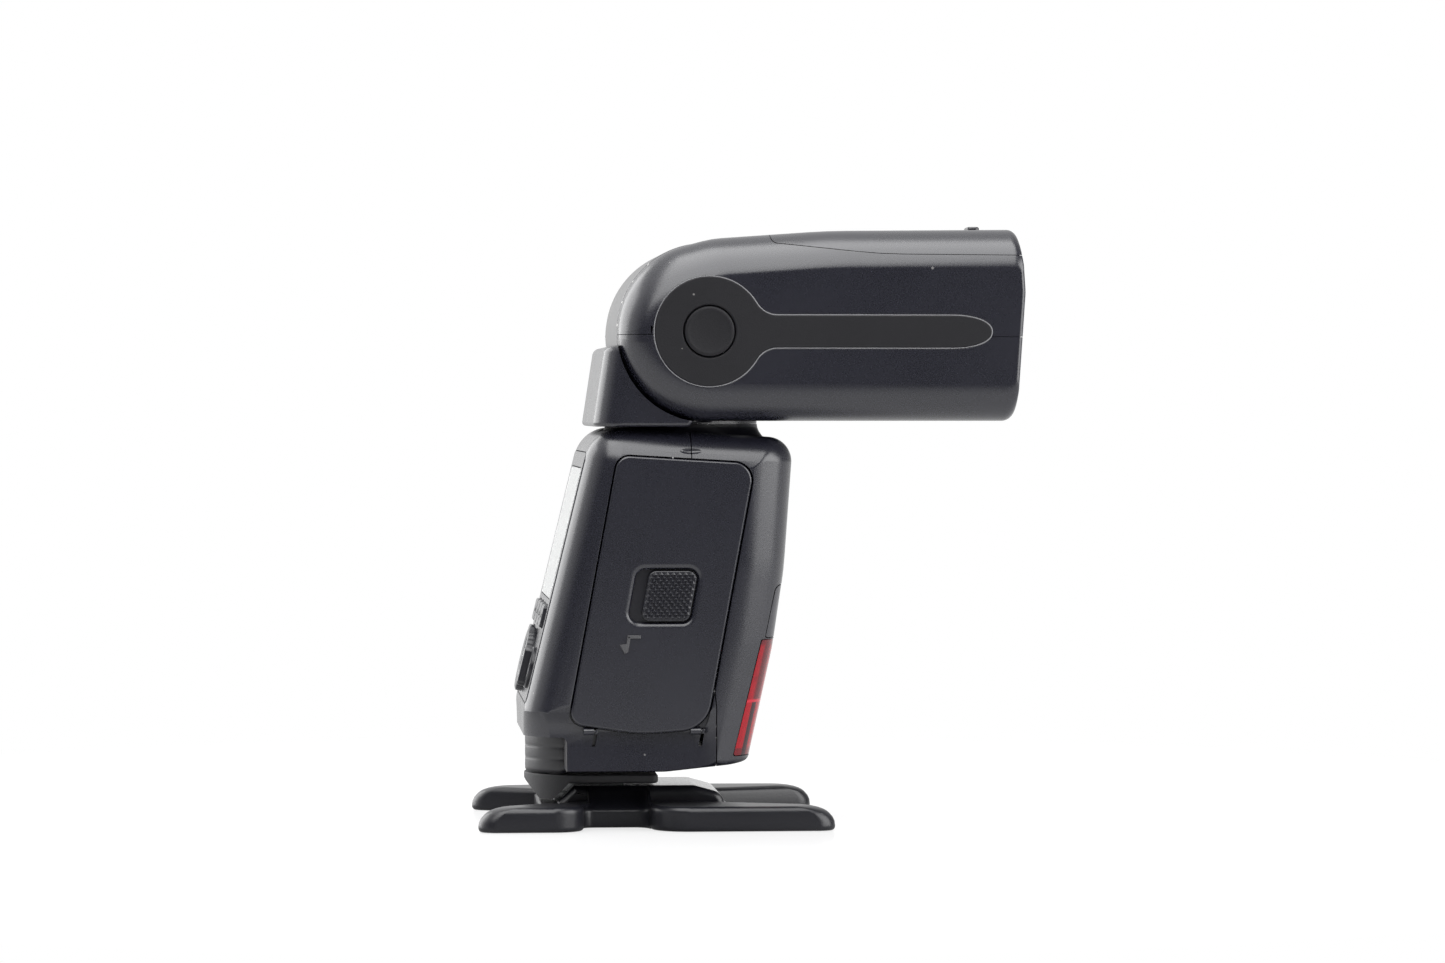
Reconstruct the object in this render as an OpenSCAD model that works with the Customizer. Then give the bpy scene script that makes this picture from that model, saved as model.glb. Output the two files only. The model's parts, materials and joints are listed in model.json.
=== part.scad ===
// Electronic camera flash with a bouncing head, standing on its table stand.
// X points the way the head points, Y to the left of it, Z up, in millimetres.
// The origin is the mouth of the tripod thread in the underside of the stand.

/* [Stand] */
// Length of the stand over its feet
stand_l = 87; // [80:1:120]
// Width of the stand over its feet
stand_w = 74; // [68:1:100]
// Height of the four feet
foot_h = 6; // [4:0.5:8]
// Height of the deck that holds the shoe
deck_h = 9.5; // [9:0.5:14]
// Width of the deck
deck_w = 30; // [26:1:40]
// Thickness of the shoe rails
rail_t = 1.9; // [1.5:0.1:2.4]
// Radius of the tripod thread
thread_r = 3.175; // [3.175:0.001:4.7625]
// Depth of the tripod thread
thread_depth = 6.2; // [5:0.1:7]

/* [Accessory foot] */
// Width of the foot plate
foot_w = 18.6; // [18:0.1:22.4]
// Length of the foot plate
foot_l = 18.2; // [16:0.1:20]
// Thickness of the foot plate
foot_t = 2; // [1.8:0.1:2.4]
// Width of the neck between the rails
neck_w = 12.2; // [10:0.1:14.7]
// Clearance of the foot in its shoe, each side
shoe_play = 0.1; // [0.05:0.01:0.2]
// Distance of the foot's centre behind the origin
foot_back = 15; // [14:0.5:18]
// Thickness of the rubber skirt round the foot
skirt_t = 3.9; // [3:0.1:5]
// Radius of the round nose under the control panel
nose_r = 16.5; // [15:0.5:18]
// Radius of the lock pin
lock_pin_r = 1.2; // [1:0.05:1.5]

/* [Body] */
// Width of the body
body_w = 71; // [66:0.5:86]
// Height of the body
body_h = 83.1; // [80:0.5:100]
// Wall of the body and the head
wall = 2; // [1.6:0.1:2.4]
// Lean of the control panel from upright
panel_lean = 13.65; // [10:0.05:16]
// Fillet along the front edges of the body sides
body_front_fillet = 9; // [6:0.5:11]

/* [Battery door] */
// Width of the battery door
door_w = 33.8; // [30:0.2:40]
// Thickness of the battery door
door_t = 1.8; // [1.5:0.1:2.2]
// Lean of the battery door and the cells
door_lean = 10.4; // [8:0.1:12]
// Gap around the battery door
door_gap = 0.3; // [0.2:0.05:0.5]
// How far the door slides down before it swings
door_travel = 3; // [2:0.1:3.6]
// Radius of the door's hinge pin
hinge_pin_r = 0.5; // [0.4:0.05:0.6]
// Radius of the hinge knuckles
knuckle_r = 0.85; // [0.8:0.05:1]
// Travel of the door latch
latch_travel = 2.6; // [2:0.1:3]

/* [Cells] */
// Radius of a cell
cell_r = 7.1; // [6.5:0.05:7.25]
// Length of a cell
cell_l = 50.5; // [44:0.1:51]

/* [Control panel] */
// Radius of the select dial
dial_r = 8; // [7:0.1:9]
// Radius of the set button
set_r = 4.6; // [3.8:0.1:5.5]
// Radius of the power switch hub
switch_r = 5.2; // [4.4:0.1:5.6]
// Clearance around the buttons
button_gap = 0.2; // [0.15:0.05:0.3]

/* [Swivel] */
// Radius of the swivel spindle
spindle_r = 11; // [9:0.1:13.2]
// Radius of the cable passage through the spindle
passage_r = 7; // [5:0.1:8.4]
// Radius of the swivel collar
collar_r = 20.6; // [18:0.1:22]
// Distance of the swivel axis ahead of the origin
swivel_x = 8; // [7:0.1:9]
// Running clearance of pins and shafts
run_gap = 0.05; // [0.02:0.01:0.1]

/* [Head] */
// Width of the head
head_w = 78; // [70:0.5:94]
// Length of the head ahead of the tilt axis
head_reach = 77.2; // [74:0.5:92]
// Height of the top front edge above the tilt axis
head_rise = 25.2; // [24:0.1:27]
// Radius of the round cheeks about the tilt axis
cheek_r = 21.7; // [21:0.1:24]
// Width of the drum between the cheeks
drum_w = 50; // [44:0.5:54]
// Radius of the tilt pins
tilt_pin_r = 5; // [4.2:0.1:6]
// Radius of the head lock button
lock_button_r = 6.1; // [5.1:0.1:7.3]
// Radius of the round end of the side insert
insert_r = 13.3; // [12:0.1:15]
// Half height of the side insert's arm
insert_arm = 3.9; // [3.2:0.1:4.6]

/* [Zoom drive] */
// Travel of the reflector
zoom_travel = 18; // [14:0.5:18.5]
// Radius of the guide rods
rod_r = 1; // [0.8:0.05:1.2]
// Radius of the lead screw
screw_r = 1.2; // [1:0.05:1.4]

/* [Hidden] */
$fn = 48;
eps = 0.01;

// Heights that stack up from the table
seat_gap = 0.2;
slot_h = foot_t + 2 * shoe_play;
skirt_clear = 0.7;
shoe_floor_z = deck_h - rail_t - slot_h;
foot_z = shoe_floor_z + shoe_play;
skirt_z = deck_h + skirt_clear;
body_z = skirt_z + skirt_t + seat_gap;
body_top = body_z + body_h;
yoke_lift = 1.8;
yoke_z = body_top + yoke_lift;
cheek_gap = 0.4;
pivot_x = 12.3;
cheek_clear = 0.5;
pivot_z = yoke_z + cheek_r + cheek_clear;
head_floor = pivot_z - cheek_r;
head_top = pivot_z + head_rise;
head_front = pivot_x + head_reach;

// Accessory foot
foot_x = -foot_back;
foot_x0 = foot_x - foot_l / 2;
foot_x1 = foot_x + foot_l / 2;
lock_pin_x = foot_x + 6;
lock_pin_travel = 1.3;
lock_pin_room = 0.3;
contact_places = [[0, 0], [-5, 4.5], [-5, -4.5], [2.5, 7], [2.5, -7]];
contact_r = 0.8;
contact_h = 1.5;
core_r = 11;
lever_z0 = body_z + 0.7;
lever_z1 = body_z + 8.3;
lever_start = 188;
lever_sweep = 54;
nose_z1 = body_z + 14.1;
nose_cut_x = foot_x - 8.5;
nose_wall = 1;
screw_hole_r = 1;
foot_screw_dx = 5;
foot_screw_dy = 4;
screw_low = skirt_z - 0.4;
skirt_half = nose_r - 0.2;
skirt_front_x = -1.1;

// Stand
leg_tip_r = 4.5;
front_root_r = 9.5;
front_root_x = 8;
rear_root_r = 7.5;
rear_root_x = -25.2;
block_x0 = -28;
block_l = 47;
block_half = stand_w / 2 - 14;
block_h = foot_h - 1;
deck_rear = foot_x0 + 0.7;
deck_front = 17.8;
deck_slope = 7.5;
insert_wall = 1.3;
insert_roof = 0.8;

// Side view of the body: corners [x, z, corner radius], anticlockwise
body_half = body_w / 2;
rear_top_x = -15.9;
panel_foot_z = body_z + 15.2;
panel_foot_x = rear_top_x - (body_top - panel_foot_z) * tan(panel_lean);
chin = [21.7, body_z + 2.2];
cheek = [27.8, body_z + 30];
front_lean = atan((cheek.x - chin.x) / (cheek.y - chin.y));
body_corners = [[panel_foot_x + 0.3, body_z, 1.5], [2, body_z, 20], [chin.x, chin.y, 2],
    [cheek.x, cheek.y, 70], [30.6, body_z + 49, 90], [33.1, body_top - 1.8, 5], [rear_top_x, body_top, 5],
    [panel_foot_x, panel_foot_z, 8]];
body_fillets = [3, 3, body_front_fillet, body_front_fillet, body_front_fillet, 7, 5, 5];
parting_top_x = 6.2;
parting_foot_x = 12.6;
parting_gap = 0.1;

// Side view of the head
tongue_angle = 113;
tangent_angle = 105;
half_span = (180 - tangent_angle) / 2;
crown = pivot_z + 22.8;
head_half = head_w / 2;
head_corners = [[pivot_x - cheek_r, head_floor, cheek_r], [head_front - 2.1, head_floor, 3],
    [head_front, pivot_z + 9.6, 12], [head_front - 1, head_top, 2.5],
    [head_front - 47.5, head_top - 0.4, 150], [pivot_x + 1.3, crown, 25],
    [pivot_x - cheek_r, pivot_z + cheek_r * tan(half_span), cheek_r]];
head_fillets = [9, 1, 1, 9, 9, 9, 9];
head_walls = [wall, -3, -3, wall, wall, wall, wall];

// Drum and yoke
drum_half = drum_w / 2;
drum_r = cheek_r - 0.3;
cradle_r = cheek_r + cheek_gap;
bulkhead_r = cradle_r + 1.6;
bulkhead_angle = -45;
yoke_half = head_half - 5;
yoke_rear_x = pivot_x - 27.9;
yoke_top_x = pivot_x - 24.9;
yoke_top_z = pivot_z - 3.4;
yoke_tip_x = pivot_x - 17;
neck_rear_x = yoke_rear_x + 3;
tongue_room = 0.5;
tongue_low_z = pivot_z - 9.9;
saddle_front_x = pivot_x - 2.3;
saddle_neck_x = swivel_x + 6;
disc_h = 2.2;
disc_r = collar_r - 1.6;
collar_z0 = body_top - 3.8;
collar_z1 = yoke_z - 0.3;
spindle_z0 = collar_z0 - 2;
pin_inner = drum_half - 4;
pin_outer = drum_half + 7;
disc_wall = 2;
bracket_r = cheek_r - wall - seat_gap;

// Control panel: u runs up the panel, v along Y, n out of it
panel_mid_z = body_z + 47.6;
panel_mid_x = rear_top_x - (body_top - panel_mid_z) * tan(panel_lean);
panel_u0 = -32;
panel_u1 = 31;
panel_half = body_half - 7;
panel_t = 1.8;
lcd_u0 = -6;
lcd_u1 = 27;
lcd_half = panel_half - 3.5;
key_u = -10.5;
key_h = 5.6;
key_w = 10;
key_pitch = 12.5;
side_key_v = panel_half - 8.5;
side_key_w = 9;
side_key_h = 6.5;
side_keys = [-17.8, -27.5];
key_root = 2.6;
key_proud = 0.9;
side_key_proud = 1.1;
dial_u = -22.5;
switch_u = -23.5;
switch_v = -(panel_half - 9);

// Battery door: outline in the side view, leaning with the cells
door_cx = 1;
door_cz = body_z + 43.2;
door_y = -body_half;
function door_side(z, s) = door_cx + (z - door_cz) * tan(door_lean) + s * door_w / 2;
door_low = body_z + 9.3;
door_corners = [[door_side(door_low + 2.6, -1), door_low + 2.6, 4], [door_cx - 5.5, door_low, 40],
    [door_side(door_low + 1.2, 1), door_low + 1.2, 8], [door_side(door_low + 65.8, 1), door_low + 65.8, 4.5],
    [door_side(door_low + 67.8, -1), door_low + 67.8, 3.5]];
slide_dir = [-sin(door_lean), -cos(door_lean)];
relief_shift = door_travel + 3;
relief_room = door_gap + 0.15;
relief_depth = door_t + 0.4;
relief_floor = 1;
hinge_z = door_low + 0.7;
hinge_y = door_y + door_t / 2;
hinge_xs = [door_cx - 19, door_cx + 7];
knuckle_l = 2.5;
lug_l = 1.5;
lug_gap = 0.3;
latch_z = door_low + 33.6;
latch_h = 12.2;
latch_w = 11.8;
window_w = latch_w + latch_travel + 2 * door_gap;
latch_lip = 1;

// Cells and what holds them
holder_wall = 1.2;
cell_pitch = 2 * cell_r + 0.4;
holder_half = cell_pitch + holder_wall + 0.1;
contact_space = 3.1;
holder_half_l = cell_l / 2 + contact_space + holder_wall;
holder_y0 = door_y + relief_depth + 1.1;
holder_depth = 2 * cell_pitch + holder_wall + 0.2;
capacitor_r = 11.5;

// Front windows
lamp_z0 = body_z + 3.9;
lamp_z1 = body_z + 32;
sensor_z1 = body_z + 45.3;
lamp_wrap = 3.1;
sensor_wrap = 1.5;
window_gap = 0.15;

// Terminal cover on the left side
cover_x0 = -11;
cover_w = 12.5;
cover_z0 = body_z + 30;
cover_h = 24;
cover_t = 1.6;
barrel_r = 0.8;

// Inside of the head
shelf_z = head_top - 8.4;
shelf_t = 1;
lens_x = head_front - 4.9;
lens_t = 2;
lens_z0 = head_floor + wall + 3 * seat_gap;
lens_z1 = shelf_z - seat_gap;
lens_half = head_half - wall - seat_gap;
optic_z = (lens_z0 + lens_z1) / 2;
lens_clear = 4.6;
trough_depth = 18;
reflector_lead = 2;
carriage_x = lens_x - lens_clear - trough_depth - reflector_lead - zoom_travel;
carriage_t = 4.5;
rod_y = head_half - 7.5;
rod_low_z = head_floor + 7.4;
rod_high_z = shelf_z - 4.2;
reflector_x = carriage_x + reflector_lead;
reflector_half = rod_y - 3.5;
reflector_t = 0.6;
tube_r = 2.1;
tube_x = reflector_x + 4.6;
motor_r = 4;
post = 2.5;
rod_x0 = carriage_x - 4.5;
rod_front_x = lens_x - 0.5;
front_post_x = lens_x - post - 0.7;
rod_fit = 0.03;
seam_gap = 0.05;
seam_rear_drop = 0.5;
seam_front_drop = 1.6;
cover_seam_x = pivot_x + 14.7;
cover_drop = 6.6;
grip_half = 5.6;
grip_x = head_front - 11.2;
grip_gap = 0.3;
insert_depth = 0.9;
insert_proud = 0.3;
insert_tip_x = pivot_x + 68.8;
insert_blend = 6;

function unit(v) = v / norm(v);
function flat(c) = [c.x, c.y];
function edge_dir(c, i) = unit(flat(c[(i + 1) % len(c)]) - flat(c[i]));
function inward(d) = [-d.y, d.x];

// Outline with its edges moved inwards, each by its own distance
function moved_corner(c, d, i) =
    let (p = (i + len(c) - 1) % len(c), a = inward(edge_dir(c, p)), b = inward(edge_dir(c, i)),
        det = a.x * b.y - a.y * b.x)
    [c[i].x + (d[p] * b.y - d[i] * a.y) / det, c[i].y + (d[i] * a.x - d[p] * b.x) / det,
        max(0.3, c[i].z - min(d[p], d[i]))];
function moved(c, d) = [for (i = [0 : len(c) - 1]) moved_corner(c, d, i)];
function grown(c, by) = moved(c, [for (i = c) -by]);

// Points of an outline with round corners
function corner_arc(a, p, b, r) =
    let (u = unit(a - p), v = unit(b - p), half = acos(u * v) / 2, centre = p + unit(u + v) * r / sin(half),
        s = p + u * r / tan(half) - centre, e = p + v * r / tan(half) - centre,
        start = atan2(s.y, s.x), turn = (atan2(e.y, e.x) - start + 540) % 360 - 180,
        n = max(1, ceil(abs(turn) / 15)))
    [for (k = [0 : n]) centre + r * [cos(start + turn * k / n), sin(start + turn * k / n)]];
function corner_points(c) =
    let (n = len(c))
    [for (i = [0 : n - 1])
        each corner_arc(flat(c[(i + n - 1) % n]), flat(c[i]), flat(c[(i + 1) % n]), c[i].z)];
function distinct(p) = [for (i = [0 : len(p) - 1]) if (norm(p[i] - p[(i + 1) % len(p)]) > 0.05) p[i]];
function rounded(c) = distinct(corner_points(c));

// Points along an arc
function arc_points(centre, r, a0, a1) =
    let (n = max(2, ceil(abs(a1 - a0) / 8)))
    [for (k = [0 : n]) centre + r * [cos(a0 + (a1 - a0) * k / n), sin(a0 + (a1 - a0) * k / n)]];

// How far a fillet of radius r has drawn in at distance y from the middle
function fillet_inset(y, half, r) = y <= half - r ? 0 : r - sqrt(max(0, r * r - pow(y - half + r, 2)));

// Upright plate in the side view, from y0 to y1
module side_plate(y0, y1) {
    translate([0, y1, 0]) rotate([90, 0, 0]) linear_extrude(y1 - y0) children();
}

// Side outline drawn out to both sides, with its own fillet along every edge
module rounded_block(c, half, fillets, walls) {
    inner_half = half - max(walls);
    radii = [for (i = [0 : len(c) - 1]) max(0.4, fillets[i] - max(walls))];
    reach = max(radii);
    depths = [0, 0.08, 0.25, 0.5, 1] * reach;
    ys = concat([for (k = depths) k - inner_half],
        [for (i = [len(depths) - 1 : -1 : 0]) inner_half - depths[i]]);
    rings = [for (y = ys) rounded(moved(c, [for (i = [0 : len(c) - 1])
        walls[i] + fillet_inset(abs(y), inner_half, radii[i])]))];
    n = len(rings[0]);
    last = len(ys) - 1;
    polyhedron(points = [for (j = [0 : last], p = rings[j]) [p.x, ys[j], p.y]],
        faces = concat([[for (i = [n - 1 : -1 : 0]) i]], [[for (i = [0 : n - 1]) last * n + i]],
            [for (j = [0 : last - 1], i = [0 : n - 1])
                [j * n + i, j * n + (i + 1) % n, (j + 1) * n + (i + 1) % n, (j + 1) * n + i]]));
}

module body_wall() {
    difference() {
        rounded_block(body_corners, body_half, body_fillets, [for (i = body_corners) 0]);
        rounded_block(body_corners, body_half, body_fillets, [for (i = body_corners) wall]);
    }
}

module head_wall() {
    difference() {
        rounded_block(head_corners, head_half, head_fillets, [for (i = head_corners) 0]);
        rounded_block(head_corners, head_half, head_fillets, head_walls);
    }
}

// Flat outline with round corners, centred
module round_rect(x, y, r) {
    square([x - 2 * r, y], center = true);
    square([x, y - 2 * r], center = true);
    for (i = [-1, 1], j = [-1, 1]) translate([i * (x / 2 - r), j * (y / 2 - r)]) circle(r);
}

// Cylinder along Y about the tilt axis
module tilt_cylinder(r, y0, y1) {
    translate([pivot_x, y1, pivot_z]) rotate([90, 0, 0]) cylinder(r = r, h = y1 - y0);
}

module at_panel(u, v, n) {
    translate([panel_mid_x, 0, panel_mid_z]) rotate([0, panel_lean - 90, 0]) translate([u, v, n]) children();
}

module at_cells() {
    translate([door_cx, 0, door_cz]) rotate([0, door_lean, 0]) children();
}

module parting_side(s) {
    side_plate(-body_w, body_w) polygon([[parting_foot_x + s * parting_gap / 2, body_z - 5],
        [parting_top_x + s * parting_gap / 2, body_top + 5], [s * 80, body_top + 5], [s * 80, body_z - 5]]);
}

// The stand

module leg(end, side) {
    root_r = end > 0 ? front_root_r : rear_root_r;
    root_x = end > 0 ? front_root_x : rear_root_x;
    hull() {
        translate([end * (stand_l / 2 - leg_tip_r), side * (stand_w / 2 - leg_tip_r)])
            circle(leg_tip_r, $fn = 32);
        translate([root_x, side * (stand_w / 2 - root_r)]) circle(root_r, $fn = 32);
    }
}

module stand_base() {
    color("#1b1b1c") difference() {
        union() {
            for (end = [-1, 1], side = [-1, 1]) linear_extrude(foot_h) leg(end, side);
            translate([block_x0, -block_half, 0]) cube([block_l, 2 * block_half, block_h]);
            side_plate(-deck_w / 2, deck_w / 2) polygon([[deck_rear, 0], [deck_front, 0],
                [deck_front, block_h], [deck_front - 0.5, deck_h - 2.3], [deck_front - deck_slope, deck_h],
                [deck_rear + 4, deck_h], [deck_rear, shoe_floor_z]]);
        }
        translate([-stand_l, -foot_w / 2 - shoe_play, shoe_floor_z])
            cube([stand_l + foot_x1 + shoe_play, foot_w + 2 * shoe_play, slot_h]);
        translate([-stand_l, -neck_w / 2 - shoe_play, shoe_floor_z])
            cube([stand_l + foot_x1 + shoe_play, neck_w + 2 * shoe_play, deck_h]);
        translate([lock_pin_x, 0, shoe_floor_z - lock_pin_travel - 0.7])
            cylinder(r = lock_pin_r + lock_pin_room, h = slot_h);
        translate([0, 0, -eps])
            cylinder(r = thread_r + insert_wall + run_gap, h = thread_depth + insert_roof + seat_gap + eps);
    }
}

module thread_insert() {
    color("#b08d4a") difference() {
        cylinder(r = thread_r + insert_wall, h = thread_depth + insert_roof);
        translate([0, 0, -eps]) cylinder(r = thread_r, h = thread_depth + eps);
    }
}

// Accessory foot and what surrounds it

module at_foot_screws() {
    for (i = [-1, 1], j = [-1, 1]) translate([foot_x + i * foot_screw_dx, j * foot_screw_dy, 0]) children();
}

module foot_neck(grow, z0, z1) {
    step = 1;
    translate([foot_x0 + step - grow, -neck_w / 2 - grow, z0])
        cube([foot_l - 2 * (step - grow), neck_w + 2 * grow, z1 - z0]);
}

module mounting_foot() {
    color("#b9bbbd") difference() {
        union() {
            translate([foot_x0, -foot_w / 2, foot_z]) cube([foot_l, foot_w, foot_t]);
            foot_neck(0, foot_z, body_z);
        }
        for (p = contact_places) translate([foot_x + p.x, p.y, foot_z - eps])
            cylinder(r = contact_r + run_gap, h = contact_h + 0.1);
        translate([lock_pin_x, 0, foot_z - eps]) cylinder(r = lock_pin_r + run_gap, h = body_z - foot_z + 1);
        at_foot_screws() translate([0, 0, screw_low - 0.1])
            cylinder(r = screw_hole_r + run_gap, h = skirt_t + 2);
    }
}

module foot_contacts() {
    color("#d8b25a") for (p = contact_places) translate([foot_x + p.x, p.y, foot_z])
        cylinder(r = contact_r, h = contact_h);
}

module foot_screws() {
    color("#8d8f92") at_foot_screws() translate([0, 0, screw_low])
        cylinder(r = screw_hole_r, h = skirt_t + 5);
}

module skirt_plan() {
    translate([foot_x, 0]) circle(skirt_half);
    translate([foot_x, -skirt_half]) square([skirt_front_x - foot_x, 2 * skirt_half]);
}

module foot_skirt() {
    lug_low = foot_z + 0.7;
    lug_top = skirt_z + 0.1;
    rail_room = 0.5;
    lug = [[foot_x - nose_r, lug_top], [deck_rear + 3.2, lug_top], [deck_rear - 1.2, lug_low],
        [deck_rear - 4.9, lug_low]];
    color("#202021") difference() {
        union() {
            translate([0, 0, skirt_z]) linear_extrude(skirt_t) skirt_plan();
            intersection() {
                side_plate(-nose_r, nose_r) polygon(lug);
                translate([0, 0, foot_z]) linear_extrude(skirt_z) skirt_plan();
            }
        }
        foot_neck(seat_gap, foot_z, body_z + 1);
        translate([foot_x - nose_r, -foot_w / 2 - rail_room, 0])
            cube([nose_r + foot_l, foot_w + 2 * rail_room, skirt_z]);
    }
}

module foot_base() {
    cap_z = lever_z1 + 0.4;
    side_room = 8;
    color("#1d1d1e") difference() {
        union() {
            translate([foot_x, 0, body_z + seat_gap])
                cylinder(r = core_r, h = cap_z + 1.2 - body_z - seat_gap);
            intersection() {
                translate([foot_x, 0, cap_z]) cylinder(r = skirt_half, h = nose_z1 - cap_z);
                translate([foot_x - 30, -30, body_z]) cube([30 + nose_cut_x - foot_x - seat_gap, 60, 40]);
            }
            translate([nose_cut_x - seat_gap - nose_wall, -body_half + side_room, body_z + seat_gap])
                cube([nose_wall, body_w - 2 * side_room, nose_z1 - body_z - seat_gap]);
        }
        at_foot_screws() translate([0, 0, body_z - 1]) cylinder(r = screw_hole_r + run_gap, h = 6.5);
    }
}

module lock_lever() {
    lever_r = core_r + 0.3;
    lever_reach = nose_cut_x - seat_gap - nose_wall - 0.3;
    color("#1a1a1b") intersection() {
        translate([foot_x, 0, lever_z0]) rotate([0, 0, lever_start]) rotate_extrude(angle = lever_sweep)
            translate([lever_r, 0]) square([nose_r - lever_r, lever_z1 - lever_z0]);
        translate([lever_reach - 40, -40, body_z]) cube([40, 80, 40]);
    }
}

module lock_pin() {
    sunk = 0.1;
    color("#c9cacc") translate([lock_pin_x, 0, foot_z + sunk])
        cylinder(r = lock_pin_r, h = body_z - foot_z - 7 * sunk);
}

// Body shells

module door_prism(c, y0, y1) {
    side_plate(y0, y1) polygon(rounded(c));
}

module slid_down(by) {
    translate([slide_dir.x * by, 0, slide_dir.y * by]) children();
}

module window_prism(z0, z1, wrap) {
    near_x = [for (z = [z0, z1]) chin.x + (z - chin.y) * tan(front_lean) - wrap];
    side_plate(-body_w, body_w) polygon([[near_x[0], z0], [60, z0], [60, z1], [near_x[1], z1]]);
}

module lamp_prism(grow) {
    window_prism(lamp_z0 - grow, lamp_z1 + grow, lamp_wrap + grow);
}

module sensor_prism(grow) {
    window_prism(lamp_z1 + 0.6 - grow, sensor_z1 + grow, sensor_wrap + grow);
}

module at_hinge(grow) {
    for (x = hinge_xs) translate([x - grow, hinge_y, hinge_z]) children();
}

// Slot in the relief's floor through which a hinge lug slides
module lug_slot() {
    reach = door_travel * sin(door_lean);
    low = hinge_z - knuckle_r - door_travel - lug_gap;
    for (x = hinge_xs) translate([x + knuckle_l - reach, door_y, low])
        cube([lug_l + reach + 2 * lug_gap, relief_depth + relief_floor + 1,
            2 * (knuckle_r + lug_gap) + door_travel]);
}

module body_cuts() {
    door_prism(grown(door_corners, door_gap), door_y - 1, door_y + wall + 1);
    slid_down(relief_shift) door_prism(grown(door_corners, relief_room), door_y - 1, door_y + relief_depth);
    translate([swivel_x, 0, collar_z0 - 6]) cylinder(r = collar_r + seat_gap, h = 30);
    at_panel(0, 0, -6) translate([panel_u0 - window_gap, -panel_half - window_gap, 0])
        cube([panel_u1 - panel_u0 + 2 * window_gap, 2 * (panel_half + window_gap), 3 * panel_t + 3.6]);
    translate([nose_cut_x - 60, -60, 0]) cube([60, 120, nose_z1 + seat_gap]);
    translate([foot_x, 0, 0]) cylinder(r = core_r + seat_gap, h = nose_z1);
    translate([cover_x0, body_half - wall - 1, cover_z0 - button_gap])
        cube([cover_w + button_gap, wall + 3, cover_h + 2 * button_gap]);
    translate([cover_x0, body_half - cover_t / 2, cover_z0 - button_gap]) {
        cylinder(r = barrel_r + button_gap, h = cover_h + 2 * button_gap);
        translate([-barrel_r - button_gap, 0, 0])
            cube([barrel_r + button_gap, cover_t, cover_h + 2 * button_gap]);
    }
}

// Floor of the relief below the door, in which the open door stands
module door_floor() {
    intersection() {
        side_plate(door_y + relief_depth, door_y + relief_depth + relief_floor)
            polygon([[-40, body_z + 1], [40, body_z + 1], [40, door_low + 5], [-40, door_low + 5]]);
        rounded_block(body_corners, body_half, body_fillets, [for (i = body_corners) wall / 2]);
    }
}

module body_half_shell(s) {
    difference() {
        intersection() {
            union() {
                body_wall();
                door_floor();
            }
            parting_side(s);
        }
        body_cuts();
        lug_slot();
    }
}

module body_front_shell() {
    color("#1e1e20") difference() {
        body_half_shell(1);
        lamp_prism(window_gap);
        sensor_prism(window_gap);
    }
}

module body_rear_shell() {
    color("#1e1e20") body_half_shell(-1);
}

module focus_lamp_window() {
    color("#b5121b") intersection() {
        body_wall();
        lamp_prism(0);
    }
}

module sensor_window() {
    color("#0d0d0f") intersection() {
        body_wall();
        sensor_prism(0);
    }
}

module focus_lamps() {
    mid = (lamp_z0 + lamp_z1) / 2;
    lamp_r = 5.5;
    lamp_l = 7.4;
    lamp_y = 10;
    color("#d9d9d4") translate([chin.x + (mid - chin.y) * tan(front_lean), 0, mid])
        rotate([0, 90 + front_lean, 0]) for (s = [-1, 1])
            translate([0, s * lamp_y, -wall - lamp_l - 0.6]) cylinder(r = lamp_r, h = lamp_l);
}

module swivel_collar() {
    cone_z = body_top - 1;
    color("#1a1a1b") translate([swivel_x, 0, 0]) difference() {
        union() {
            translate([0, 0, collar_z0]) cylinder(r = collar_r, h = cone_z - collar_z0);
            translate([0, 0, cone_z]) cylinder(r1 = collar_r, r2 = disc_r, h = collar_z1 - cone_z);
        }
        translate([0, 0, collar_z0 - 1]) cylinder(r = spindle_r + run_gap, h = 20);
    }
}

// Battery door

module latch_outline(width, height) {
    lean_x = height / 2 * tan(door_lean);
    corner = 1.5;
    polygon(rounded([[-width / 2 - lean_x, -height / 2, corner], [width / 2 - lean_x, -height / 2, corner],
        [width / 2 + lean_x, height / 2, corner], [-width / 2 + lean_x, height / 2, corner]]));
}

latch_x = door_side(latch_z, 0) + 2.4;
latch_rest = (window_w - latch_w) / 2 - door_gap;

module battery_door() {
    color("#1c1c1d") difference() {
        union() {
            difference() {
                door_prism(door_corners, door_y, door_y + door_t);
                side_plate(door_y - 1, door_y + door_t + 1) translate([latch_x, latch_z])
                    latch_outline(window_w, latch_h + 2 * door_gap);
            }
            at_hinge(0) rotate([0, 90, 0]) cylinder(r = knuckle_r, h = knuckle_l);
            at_hinge(0) translate([0, -knuckle_r, 0]) cube([knuckle_l, 2 * knuckle_r, 4]);
        }
        at_hinge(1) rotate([0, 90, 0]) cylinder(r = hinge_pin_r + run_gap, h = knuckle_l + 2);
        at_hinge(0) translate([knuckle_l, -door_t, -5])
            cube([lug_l + 2 * lug_gap, 2 * door_t, 5 + knuckle_r + lug_gap]);
    }
}

module door_hinge_bracket() {
    bar_y = door_y + relief_depth + relief_floor + lug_gap;
    bar_t = 1;
    lug_x = knuckle_l + lug_gap;
    color("#8f9194") {
        at_hinge(0) rotate([0, 90, 0]) cylinder(r = hinge_pin_r, h = lug_x + eps);
        at_hinge(0) translate([lug_x, 0, 0]) rotate([0, 90, 0]) cylinder(r = knuckle_r, h = lug_l);
        at_hinge(0) translate([lug_x, 0, -knuckle_r])
            cube([lug_l, bar_y - hinge_y + bar_t / 2, 2 * knuckle_r]);
        translate([hinge_xs[0] + lug_x, bar_y, hinge_z - knuckle_r])
            cube([hinge_xs[1] - hinge_xs[0] + lug_l, bar_t, 2 * knuckle_r]);
    }
}

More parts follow.
